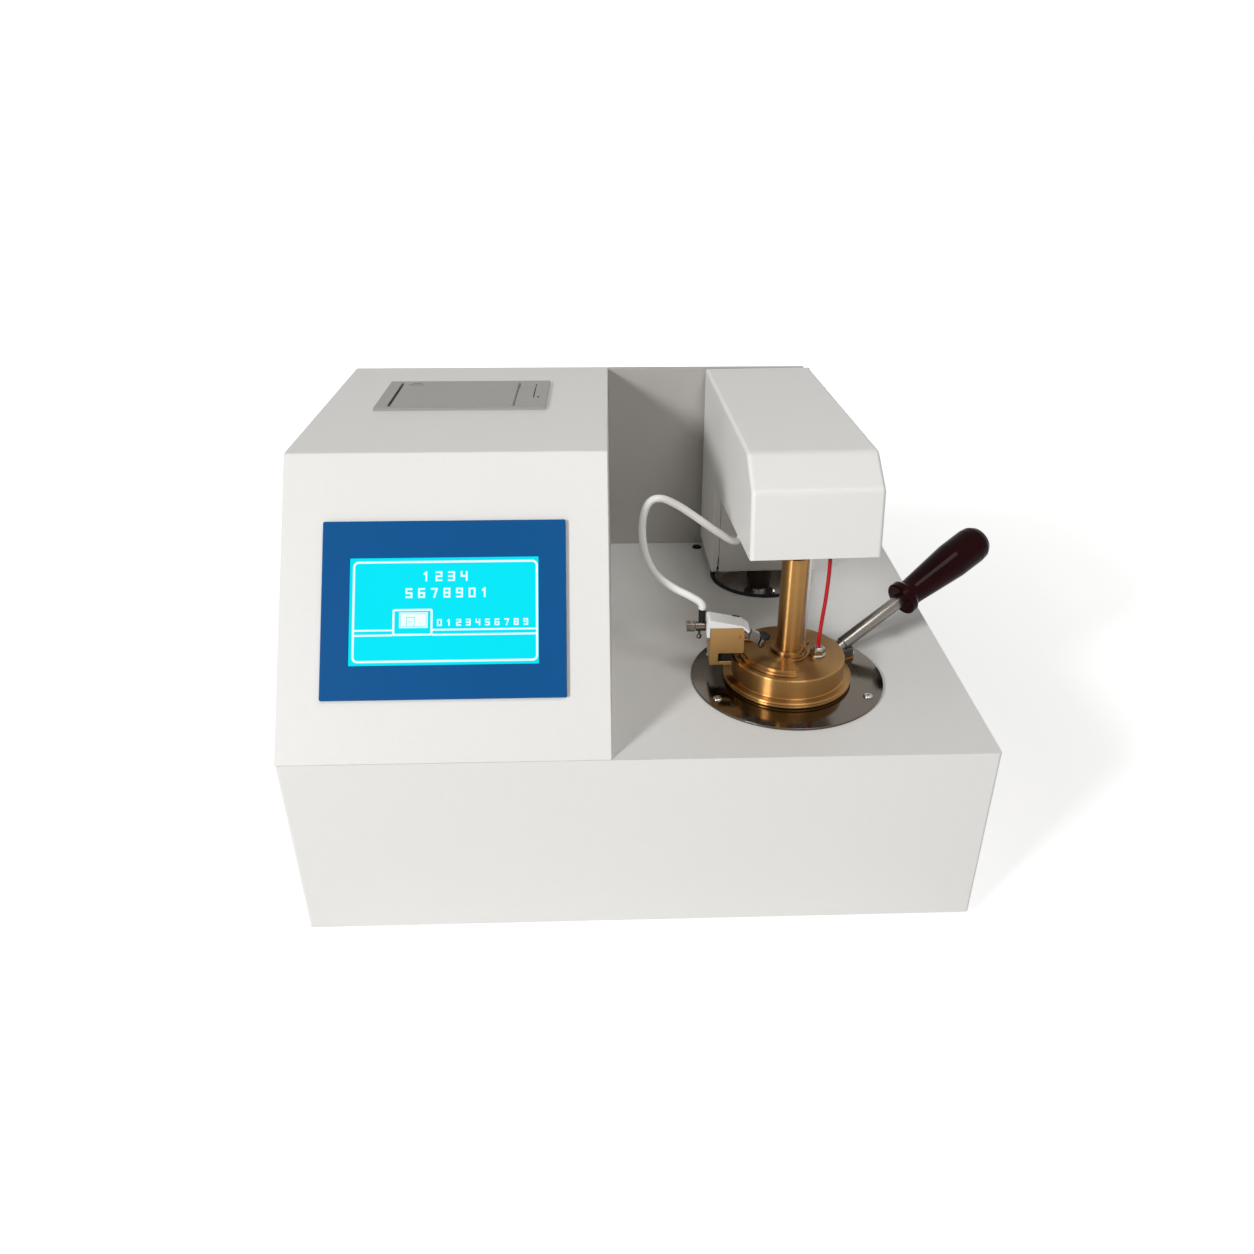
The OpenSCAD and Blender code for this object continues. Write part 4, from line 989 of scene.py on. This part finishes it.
class TESTER_OT_case(bpy.types.Operator):
    """Dresses the painted case: base, tower, wall, back, floor and feet"""

    bl_idname = "tester.case"
    bl_label = "Case"

    def execute(self, context):
        edge = context.scene.tester_sizes.sheet_edge
        dress("base_cover", width=edge, segments=4)
        dress("tower_cover", width=edge, segments=4)
        # The wall's darker grey is painted shade.
        dress("rear_wall", "wall_coat")
        dress("rear_panel", width=0.3 * MM, segments=1)
        dress("floor_plate", width=0.3 * MM, segments=1)
        self.rear_screws()
        self.feet()
        self.grommet()
        return {"FINISHED"}

    def rear_screws(self):
        """Two rows of four screws that hold the rear panel."""
        place = Matrix.Translation(case_point(202, 298.5, 66)) @ Matrix.Rotation(math.radians(-90), 4, "X")
        grid_piece("rear_panel_screws", screw_mesh(2.6 * MM, 1.3 * MM, 1.3 * MM), "chrome_plate", place,
                   4, 2, 386 * MM, 106 * MM, slot="chromed")

    def feet(self):
        """Four turned rubber feet, in the corners of their box."""
        low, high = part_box("feet")
        foot = spin_mesh([(0, 0), (8.4, 0), (9.2, 0.7), (10.6, 5.2), (11, 6), (0, 6)], 0.4, 48)
        across = 22 * MM
        place = Matrix.Translation(((low.x + high.x) / 2, (low.y + high.y) / 2, 0))
        grid_piece("feet_finished", foot, "black_rubber", place, 2, 2,
                   high.x - low.x - across, high.y - low.y - across, ["feet"])

    def grommet(self):
        """The rubber grommet in the deck, near the wall."""
        place = Matrix.Translation(case_point(254, 287, 126.5))
        turned_piece("deck_grommet_finished", [
            (0, -4), (2.6, -4), (2.6, 0), (3.7, 0),
            (3.7, 0.5), (3.1, 1.1), (2.1, 1.1), (1.8, 0.3), (0, 0.3)],
            "black_rubber", "case", ["deck_grommet"], place, 0.25, 64)


# Strokes of plain digits on a grid of 2 by 4, as end points
STROKES = {
    "0": [(0, 0, 2, 0), (2, 0, 2, 4), (2, 4, 0, 4), (0, 4, 0, 0)],
    "1": [(1, 0, 1, 4), (0.3, 3.2, 1, 4)],
    "2": [(0, 4, 2, 4), (2, 4, 2, 2), (2, 2, 0, 2), (0, 2, 0, 0), (0, 0, 2, 0)],
    "3": [(0, 4, 2, 4), (2, 4, 2, 0), (2, 2, 0, 2), (2, 0, 0, 0)],
    "4": [(0, 4, 0, 2), (0, 2, 2, 2), (2, 4, 2, 0)],
    "5": [(2, 4, 0, 4), (0, 4, 0, 2), (0, 2, 2, 2), (2, 2, 2, 0), (2, 0, 0, 0)],
    "6": [(2, 4, 0, 4), (0, 4, 0, 0), (0, 0, 2, 0), (2, 0, 2, 2), (2, 2, 0, 2)],
    "7": [(0, 4, 2, 4), (2, 4, 1, 0)],
    "8": [(0, 0, 2, 0), (2, 0, 2, 4), (2, 4, 0, 4), (0, 4, 0, 0), (0, 2, 2, 2)],
    "9": [(2, 2, 0, 2), (0, 2, 0, 4), (0, 4, 2, 4), (2, 4, 2, 0), (2, 0, 0, 0)],
}


def stroke(bm, x0, y0, x1, y1, width, low, high, place):
    """Adds one straight stroke of a drawing, with square ends half its width long."""
    start, end = Vector((x0, y0)), Vector((x1, y1))
    along = (end - start).normalized() * width / 2
    side = Vector((-along.y, along.x))
    start, end = start - along, end + along
    corners = [start - side, end - side, end + side, start + side]
    prism(bm, [(p.x * MM, p.y * MM) for p in corners], low, high, place)


def line_frame(bm, x0, y0, x1, y1, corner, width, low, high, place, steps=6):
    """Adds a rounded rectangle drawn as a line."""
    def ring(grow):
        r = corner + grow
        points = []
        for cx, cy, first in [(x1 - corner, y1 - corner, 0), (x0 + corner, y1 - corner, 90),
                              (x0 + corner, y0 + corner, 180), (x1 - corner, y0 + corner, 270)]:
            for k in range(steps + 1):
                a = math.radians(first + 90 * k / steps)
                points.append((cx + r * math.cos(a), cy + r * math.sin(a)))
        return points
    outer, inner = ring(width / 2), ring(-width / 2)
    verts = [[bm.verts.new(place @ Vector((p[0] * MM, p[1] * MM, z))) for p in loop]
             for loop, z in [(outer, low), (outer, high), (inner, high), (inner, low)]]
    faces = []
    for a, b in zip(verts, verts[1:] + verts[:1]):
        for k in range(len(a)):
            n = (k + 1) % len(a)
            faces.append(bm.faces.new((a[k], a[n], b[n], b[k])))
    bmesh.ops.recalc_face_normals(bm, faces=faces)


class TESTER_OT_screen(bpy.types.Operator):
    """Dresses the display: bezel, lit screen with its lines and digits, and the module behind"""

    bl_idname = "tester.screen"
    bl_label = "Screen"

    def execute(self, context):
        dress("display_bezel", width=0.35 * MM)
        dress("touch_glass", width=0.1 * MM, segments=1)
        dress("display_module", width=0.5 * MM, segments=1)
        place = slope_frame()
        low, high, top = 0.9 * MM, 0.96 * MM, 0.99 * MM
        bm = bmesh.new()
        line_frame(bm, 41.7, 56.8, 144.0, 113.2, 2.6, 1.15, low, high, place)
        for y, width in [(74.4, 0.95), (71.6, 1.0)]:
            stroke(bm, 42.6, y, 63.0, y, width, low, high, place)
            stroke(bm, 86.2, y, 143.2, y, width, low, high, place)
        line_frame(bm, 64.0, 71.8, 85.2, 85.8, 0.5, 1.1, low, high, place)
        prism(bm, [(x * MM, y * MM) for x, y in box_outline(67.2, 75.6, 83.0, 84.4)], low, high, place)
        for text, x, y, tall, pitch, width in [
                ("1234", 80.6, 102.6, 4.6, 7.05, 0.95), ("5678901", 71.0, 93.1, 4.6, 7.05, 0.95),
                ("0123456789", 88.6, 76.9, 3.1, 5.35, 0.7)]:
            for k, digit in enumerate(text):
                unit = tall / 4
                for x0, y0, x1, y1 in STROKES[digit]:
                    stroke(bm, x + k * pitch + x0 * unit * 1.25, y + y0 * unit,
                           x + k * pitch + x1 * unit * 1.25, y + y1 * unit, width, low, high, place)
        add_piece("screen_marks", mesh_from(bm, smooth=False), "screen_marks", "case", slot="screen_glass")
        bm = bmesh.new()
        line_frame(bm, 68.0, 76.4, 82.2, 83.6, 0.3, 0.25, high, top, place)
        for ends in [(71.2, 76.6, 71.2, 81.6), (71.2, 81.6, 75.6, 81.6), (75.6, 81.6, 75.6, 76.6),
                     (72.6, 79.0, 74.2, 79.0)]:
            stroke(bm, *ends, 0.35, high, top, place)
        lines = mesh_from(bm, smooth=False)
        add_piece("screen_icon_lines", lines, "screen_light", "case", slot="screen_glass")
        return {"FINISHED"}


class TESTER_OT_printer(bpy.types.Operator):
    """Dresses the printer in the tower's top, with its door, key, roller and paper"""

    bl_idname = "tester.printer"
    bl_label = "Printer"

    def execute(self, context):
        edge = context.scene.tester_sizes.moulded_edge
        dress("printer_frame", width=edge, segments=3)
        dress("printer_door", width=0.3 * MM)
        dress("feed_button", width=edge, segments=3)
        dress("platen_roller", width=0.2 * MM, segments=1)
        self.paper()
        self.marks()
        return {"FINISHED"}

    def paper(self):
        """The roll of paper behind the printer's door, lying along Y."""
        low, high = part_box("paper_roll")
        centre = (low + high) / 2
        outline = [(6, -27.5), (19, -27.5), (19, 27.5), (6, 27.5)]
        place = Matrix.Translation(centre) @ Matrix.Rotation(math.radians(90), 4, "X")
        turned_piece("paper_roll_finished", outline, "thermal_paper", "roll", ["paper_roll"],
                     place, 0.2, 96)

    def marks(self):
        """The slot and key lines that are moulded in the printer's face, drawn as near-black strips:
        painted shade for the shadow inside them.
        """
        top = TOP + 1.6 * MM
        bm = bmesh.new()
        for ends in [(42.9, 201, 43.5, 245), (50, 250.2, 56, 251.0), (135.2, 214, 135.9, 236)]:
            prism(bm, [(CASE.x + x * MM, CASE.y + y * MM) for x, y in box_outline(*ends)],
                  top - 0.1 * MM, top + 0.04 * MM)
        add_piece("printer_slots_painted_shade", mesh_from(bm, smooth=False), "dark_recess", "case", slot="black_plastic")
        place = Matrix.Translation(case_point(138.6, 215, 0) + Vector((0, 0, top)))
        turned_piece("printer_lamp", [(0, -0.3), (1.0, -0.3), (1.0, 0.05), (0.6, 0.25), (0, 0.3)],
                     "dark_recess", "case", (), place, 0.15, 24, "black_plastic")


class TESTER_OT_stove(bpy.types.Operator):
    """Dresses the stove: plate, screws, block, can and spacer"""

    bl_idname = "tester.stove"
    bl_label = "Stove"

    def execute(self, context):
        turned_piece("stove_plate_finished", [(30, 0), (60, 0), (60, 1.5), (30, 1.5)],
                     "mirror_plate", "case", ["stove_plate"])
        # The screws lie on a circle of this radius, 30 degrees off the stove's left and right
        radius = 53 * MM
        place = Matrix.Translation(over_stove(z=1.5))
        grid_piece("stove_screws_finished", screw_mesh(2.9 * MM, 1.2 * MM, 1.2 * MM), "chrome_plate", place,
                   2, 2, 2 * radius * math.cos(math.radians(30)), radius, ["stove_screws"])
        dress("heater_block", width=0.5 * MM, segments=1)
        dress("stove_can", width=0.2 * MM, segments=1)
        turned_piece("spacer_ring_finished", [(31, 1.5), (37, 1.5), (37, 1.65), (31, 1.65)],
                     "turned_brass", "case", ["spacer_ring"], radius=0)
        return {"FINISHED"}


class TESTER_OT_lift(bpy.types.Operator):
    """Dresses the lift: edging, pan, pipes, boot, motor and carrier"""

    bl_idname = "tester.lift"
    bl_label = "Lift"

    def execute(self, context):
        place = Matrix.Translation((TRIM.x, TRIM.y, DECK))
        turned_piece("opening_trim_finished", [
            (35.2, -3.4), (36, -3.4), (36, 0), (38.2, 0),
            (38.2, 0.9), (37.2, 1.9), (36.2, 1.9), (35.2, 0.9)],
            "black_rubber", "case", ["opening_trim"], place, 0.5)
        # The pan's pale colour is painted light, for what its steel reflects in the shaded well.
        turned_piece("lift_pan_finished", [
            (12, -14), (40.2, -14), (40.2, -2.7), (47, -2.7), (47, -1.5), (39, -1.5), (39, -13), (12, -13)],
            "pan_steel", "case", ["lift_pan"], place, 0.4)
        place = Matrix.Translation((POST.x, POST.y, DECK))
        turned_piece("post_boot_finished", [
            (7.2, -11.5), (8.1, -11.5), (10.4, 6), (10.4, 9.5), (12.2, 9.5), (12.2, 11.5), (7.2, 11.5)],
            "boot_rubber", "arm", ["post_boot"], place, 0.4, 96)
        for node in ["lift_sleeve", "lift_motor", "lift_stage", "lift_post", "lift_carrier"]:
            dress(node, width=0.4 * MM, segments=1)
        return {"FINISHED"}


class TESTER_OT_arm(bpy.types.Operator):
    """Dresses the arm's covers and what they hold"""

    bl_idname = "tester.arm"
    bl_label = "Arm"

    def execute(self, context):
        edge = context.scene.tester_sizes.sheet_edge
        cover = cad_copy("arm_cover")
        dress_mesh("arm_cover", cover, lambda seed: soften_shell(seed, 2.4 * edge, 0.3 * edge))
        self.lips()
        dress("arm_bottom_plate", width=0.2 * MM, segments=1)
        for node in ["column_plate", "stirrer_motor", "motor_pulley", "stirrer_belt", "shutter_motor"]:
            dress(node, width=0.3 * MM, segments=1)
        return {"FINISHED"}

    def lips(self):
        """Carries the cover's lips down to the column's foot, each with its widening seam."""
        place = Matrix.Translation((POST.x, POST.y, 0)) @ Matrix.Rotation(math.radians(2.3), 4, "Z")
        place = place @ Matrix.Translation((0, -13.4 * MM, 0)) @ Matrix.Rotation(math.radians(90), 4, "X")
        bm = bmesh.new()
        for side in (-1, 1):
            outline = [(38.2, 134.4), (35.4, 134.4), (34.4, 147), (38.2, 147)]
            prism(bm, [(side * x * MM, z * MM) for x, z in outline], 0, 1.4 * MM, place)
        add_piece("column_lips", mesh_from(bm, smooth=False), "powder_coat", "arm", slot="white_paint")


class TESTER_OT_lid(bpy.types.Operator):
    """Dresses the lid with its tube, collar, shutter, rod, sensor and stirrer"""

    bl_idname = "tester.lid"
    bl_label = "Lid"

    def execute(self, context):
        edge = context.scene.tester_sizes.machined_edge
        lid = lowered("lid", (5.9, 6.8, -2.5), (7.9, 8.8, -3.4), (9.0, 9.9, -4.0))
        dress_mesh("lid", lid, lambda seed: soften(seed, edge, 3, 25))
        self.tube()
        dress("shutter", width=edge * 0.7, angle=25)
        dress("sensor_nut", width=edge * 0.7, angle=25)
        dress("sensor_probe", width=0.1 * MM, segments=1)
        dress("shutter_rod", width=0.2 * MM)
        dress("stirrer", width=0.2 * MM, segments=1)
        return {"FINISHED"}

    def tube(self):
        """The stirrer's tube, standing on a collar that is slotted for the shutter's catch."""
        turned_piece("drive_tube_finished", [
            (5.5, 23), (8, 23), (8, 83.9), (6.5, 83.9), (6.5, 86), (5.5, 86)],
            "turned_brass", "arm", ["drive_tube"], radius=0.2, sides=96)
        bm = bmesh.new()
        place = Matrix.Translation(over_stove())
        prism(bm, sector_outline(11, 5.5, 350, 660, 90), 18 * MM, 23 * MM, place)
        prism(bm, sector_outline(11, 5.5, 300, 350, 20), 18 * MM, 20.4 * MM, place)
        prism(bm, sector_outline(9.1, 5.5, 300, 350, 20), 20.4 * MM, 23 * MM, place)
        collar = add_piece("tube_collar", mesh_from(bm), "turned_brass", "arm", slot="brass")
        soften(collar, 0.4 * MM, 2)


def upright(y):
    """Places a drawing in X and Z, in metres from the deck, so that it grows from depth y to the front."""
    return Matrix.Translation(deck_point(0, y)) @ Matrix.Rotation(math.radians(90), 4, "X")


def circle_outline(centre, radius, sides=32):
    """The outline of a round bar."""
    turns = [2 * math.pi * k / sides for k in range(sides)]
    return [(centre[0] + radius * math.cos(a), centre[1] + radius * math.sin(a)) for a in turns]


def plate_piece(name, plates, finish, body, nodes=(), slot=None, edge=0, segments=2):
    """A piece made of plates, each drawn in X and Z in millimetres and lying between two depths."""
    bm = bmesh.new()
    for outline, front, rear in plates:
        prism(bm, [(x * MM, z * MM) for x, z in outline], 0, (rear - front) * MM, upright(rear))
    piece = add_piece(name, mesh_from(bm, smooth=edge > 0), finish, body, nodes, slot)
    if edge:
        soften(piece, edge * MM, segments)


class TESTER_OT_ignition(bpy.types.Operator):
    """Dresses the ignition bracket, cap, needle valve, knob and test flame lever"""

    bl_idname = "tester.ignition"
    bl_label = "Ignition"

    # Pivot and tip of the test flame lever, from the case's corner and above the deck, and the tip's lean
    PIVOT = (250, 23.5)
    TIP = (276.2, 78.66, 26)
    LEAN = 15

    def execute(self, context):
        self.bracket()
        self.cap()
        dress("needle_valve", "dark_chrome", width=0.2 * MM)
        dress("valve_knob", "dark_chrome", width=0.2 * MM)
        place = Matrix.Translation(deck_point(241, 90))
        turned_piece("hose_ferrule", [(0, 38.6), (2.15, 38.6), (2.15, 47.4), (0, 47.4)],
                     "black_rubber", "arm", (), place, 0.3, 32, "black_rubber")
        self.lever()
        return {"FINISHED"}

    def bracket(self):
        """The folded brass bracket, a near-black plate behind its mouth as painted shade for its dark
        inside, and its screw.
        """
        plate_piece("ignition_bracket_finished", [
            ([(245.4, 14), (259, 14), (259, 16.4), (250.6, 16.4),
              (250.6, 22.1), (266.2, 22.1), (266.2, 40), (245.4, 40)], 78, 79.5),
            (box_outline(245.4, 14, 246.9, 40), 79.5, 98),
            (box_outline(245.4, 18.1, 266.2, 33), 98, 99.5),
            (box_outline(262.5, 18.1, 276.5, 19.6), 99.5, 107)],
            "brass_sheet", "arm", ["ignition_bracket"], edge=0.25)
        # Painted shade: a near-black plate behind the bracket's slot stands in for the shadow inside the
        # bracket.
        plate_piece("bracket_painted_shade", [
            ([(247.4, 15.6), (259.6, 15.6), (259.6, 22.6),
              (253.8, 22.6), (253.8, 20), (247.4, 20)], 80.2, 86.2)],
            "dark_recess", "arm", slot="black_plastic")
        screw = screw_mesh(1.3 * MM, 0.7 * MM, 0.5 * MM)
        screw.transform(upright(78) @ Matrix.Translation(Vector((263.1, 33.6, 0)) * MM))
        add_piece("bracket_screw", screw, "turned_brass", "arm", slot="brass")

    def cap(self):
        """The white cap over the bracket, with the notch in its edge, its shadow painted as a near-black
        sheet.
        """
        plate_piece("ignition_cap_finished", [
            ([(243.4, 40), (264.6, 40), (268.2, 36.2), (269.5, 37.6),
              (265, 41.2), (245, 45.4), (243.4, 44.8)], 77, 89.5),
            (box_outline(243.2, 33.5, 245.2, 40), 77, 85)],
            "white_moulding", "arm", ["ignition_cap"], edge=0.45, segments=3)
        # Painted shade: a near-black sheet for the shadow in the cap's notch.
        plate_piece("cap_notch_painted_shade", [([(259.4, 41.5), (264, 40.5), (264, 41.75), (259.4, 42.7)], 88.6, 89.7)],
                    "dark_recess", "arm", slot="black_plastic")

    def lever(self):
        """The lever on its pivot, with the jet and its cap at the tip."""
        x, z = self.PIVOT
        plate_piece("torch_lever_finished", [
            (circle_outline(self.PIVOT, 3), 79.8, 97.7),
            (circle_outline(self.PIVOT, 1.1), 79.6, 99.4),
            ([(x - 2, z), (x + 3, z - 1.5), (263, 31.5), (263, 35), (259, 35)], 87, 90),
            ([(259, 31.5), (263.5, 31.5), (263.5, 35), (259, 35)], 80.5, 87),
            ([(263.5, 31.5), (270, 31.5), (275, 32), (275, 34), (270, 35), (263.5, 35)], 80.5, 83.2),
            ([(268.8, 31.8), (274.3, 29), (276.5, 35), (270.2, 38.6)], 76.7, 80.3)],
            "brushed_steel", "torch", ["torch_lever"], edge=0.3)
        tip = Matrix.Translation(deck_point(*self.TIP)) @ Matrix.Rotation(math.radians(self.LEAN), 4, "Y")
        turned_piece("torch_nozzle", [
            (0, 0), (1.2, 0), (1.9, 1.2), (1.9, 3.2), (2.3, 3.5), (2.3, 4.6), (1.9, 4.9), (1.9, 7), (0, 7)],
            "dark_chrome", "torch", (), tip, 0.2, 48, "stainless")
        turned_piece("torch_cap", [
            (0, 6.6), (3.2, 6.6), (3.6, 7.1), (3.6, 9.0), (3.2, 9.4), (1.2, 9.4), (0.9, 8.6), (0, 8.6)],
            "black_rubber", "torch", (), tip, 0.2, 48, "black_plastic")


class TESTER_OT_cup(bpy.types.Operator):
    """Dresses the cup, the rod of its handle and the grip"""

    bl_idname = "tester.cup"
    bl_label = "Cup and handle"

    def execute(self, context):
        cup = lowered("cup", (5.4, 6.2, -2.5), (2.9, 3.8, -1.4))
        dress_mesh("cup", cup, lambda seed: soften(seed, 0.3 * MM, 3, 25))
        root = lowered("handle_rod", (5.8, 6.3, -2.5))
        dress_mesh("handle_rod", root, lambda seed: soften(seed, 0.4 * MM), "brushed_steel")
        place = handle_frame()
        turned_piece("handle_sleeve", [(0, 6), (4.5, 6), (4.5, 60), (0, 60)],
                     "brushed_steel", "cup_group", (), place, 0.5, 64, "stainless")
        turned_piece("handle_grip_finished", [
            (0, 57), (10.8, 57, 0.6), (11.4, 58, 0.8), (11.4, 62, 0.8), (10.2, 63.4, 1.0), (9.1, 64.4, 1.6),
            (9.0, 68, 6), (12.4, 104, 14), (12.5, 121.5, 5), (11.8, 126.3, 4), (9.4, 130.1, 4),
            (5.0, 132.6, 4), (0, 133.3, 0)],
            "phenolic_grip", "cup_group", ["handle_grip"], place, 0.5, 96, steps=8)
        return {"FINISHED"}


class TESTER_OT_rear(bpy.types.Operator):
    """Dresses the back: inlet, switch, fan with its guard, and the gas spigot"""

    bl_idname = "tester.rear"
    bl_label = "Rear fittings"

    def execute(self, context):
        for node, width, segments in [
                ("power_inlet", 0.5, 2), ("power_switch", 0.4, 2), ("cooling_fan_frame", 0.6, 2),
                ("cooling_fan_rotor", 0.2, 1), ("fan_guard", 0.5, 2)]:
            dress(node, width=width * MM, segments=segments)
        dress("gas_inlet", "turned_brass", width=0.3 * MM)
        return {"FINISHED"}


class TESTER_OT_inside(bpy.types.Operator):
    """Dresses what the case hides: the boards and the power supply"""

    bl_idname = "tester.inside"
    bl_label = "Inside"

    def execute(self, context):
        dress("control_board", width=0.2 * MM, segments=1)
        dress("power_supply", width=0.4 * MM, segments=1)
        return {"FINISHED"}


class TESTER_PT_pieces(bpy.types.Panel):
    """Lists the steps that build the tester, with its sizes and colours"""

    bl_idname = "TESTER_PT_pieces"
    bl_label = "Flash point tester"
    bl_space_type = "VIEW_3D"
    bl_region_type = "UI"
    bl_category = "Tester"

    def draw(self, context):
        column = self.layout.column()
        for step in STEPS:
            column.operator(step.bl_idname)
        for group in (context.scene.tester_sizes, context.scene.tester_colours):
            box = self.layout.box()
            for name in group.bl_rna.properties.keys():
                if name not in {"rna_type", "name"}:
                    box.prop(group, name)


STEPS = (
    TESTER_OT_finishes, TESTER_OT_stage, TESTER_OT_cords, TESTER_OT_case, TESTER_OT_screen,
    TESTER_OT_printer, TESTER_OT_stove, TESTER_OT_lift, TESTER_OT_arm, TESTER_OT_lid,
    TESTER_OT_ignition, TESTER_OT_cup, TESTER_OT_rear, TESTER_OT_inside)
CLASSES = (TesterSizes, TesterColours, *STEPS, TESTER_PT_pieces)


def register():
    for cls in CLASSES:
        bpy.utils.register_class(cls)
    bpy.types.Scene.tester_sizes = PointerProperty(type=TesterSizes)
    bpy.types.Scene.tester_colours = PointerProperty(type=TesterColours)


def unregister():
    del bpy.types.Scene.tester_colours
    del bpy.types.Scene.tester_sizes
    for cls in reversed(CLASSES):
        bpy.utils.unregister_class(cls)


def main():
    register()
    for step in STEPS:
        module, name = step.bl_idname.split(".")
        getattr(getattr(bpy.ops, module), name)()


if __name__ == "__main__":
    main()
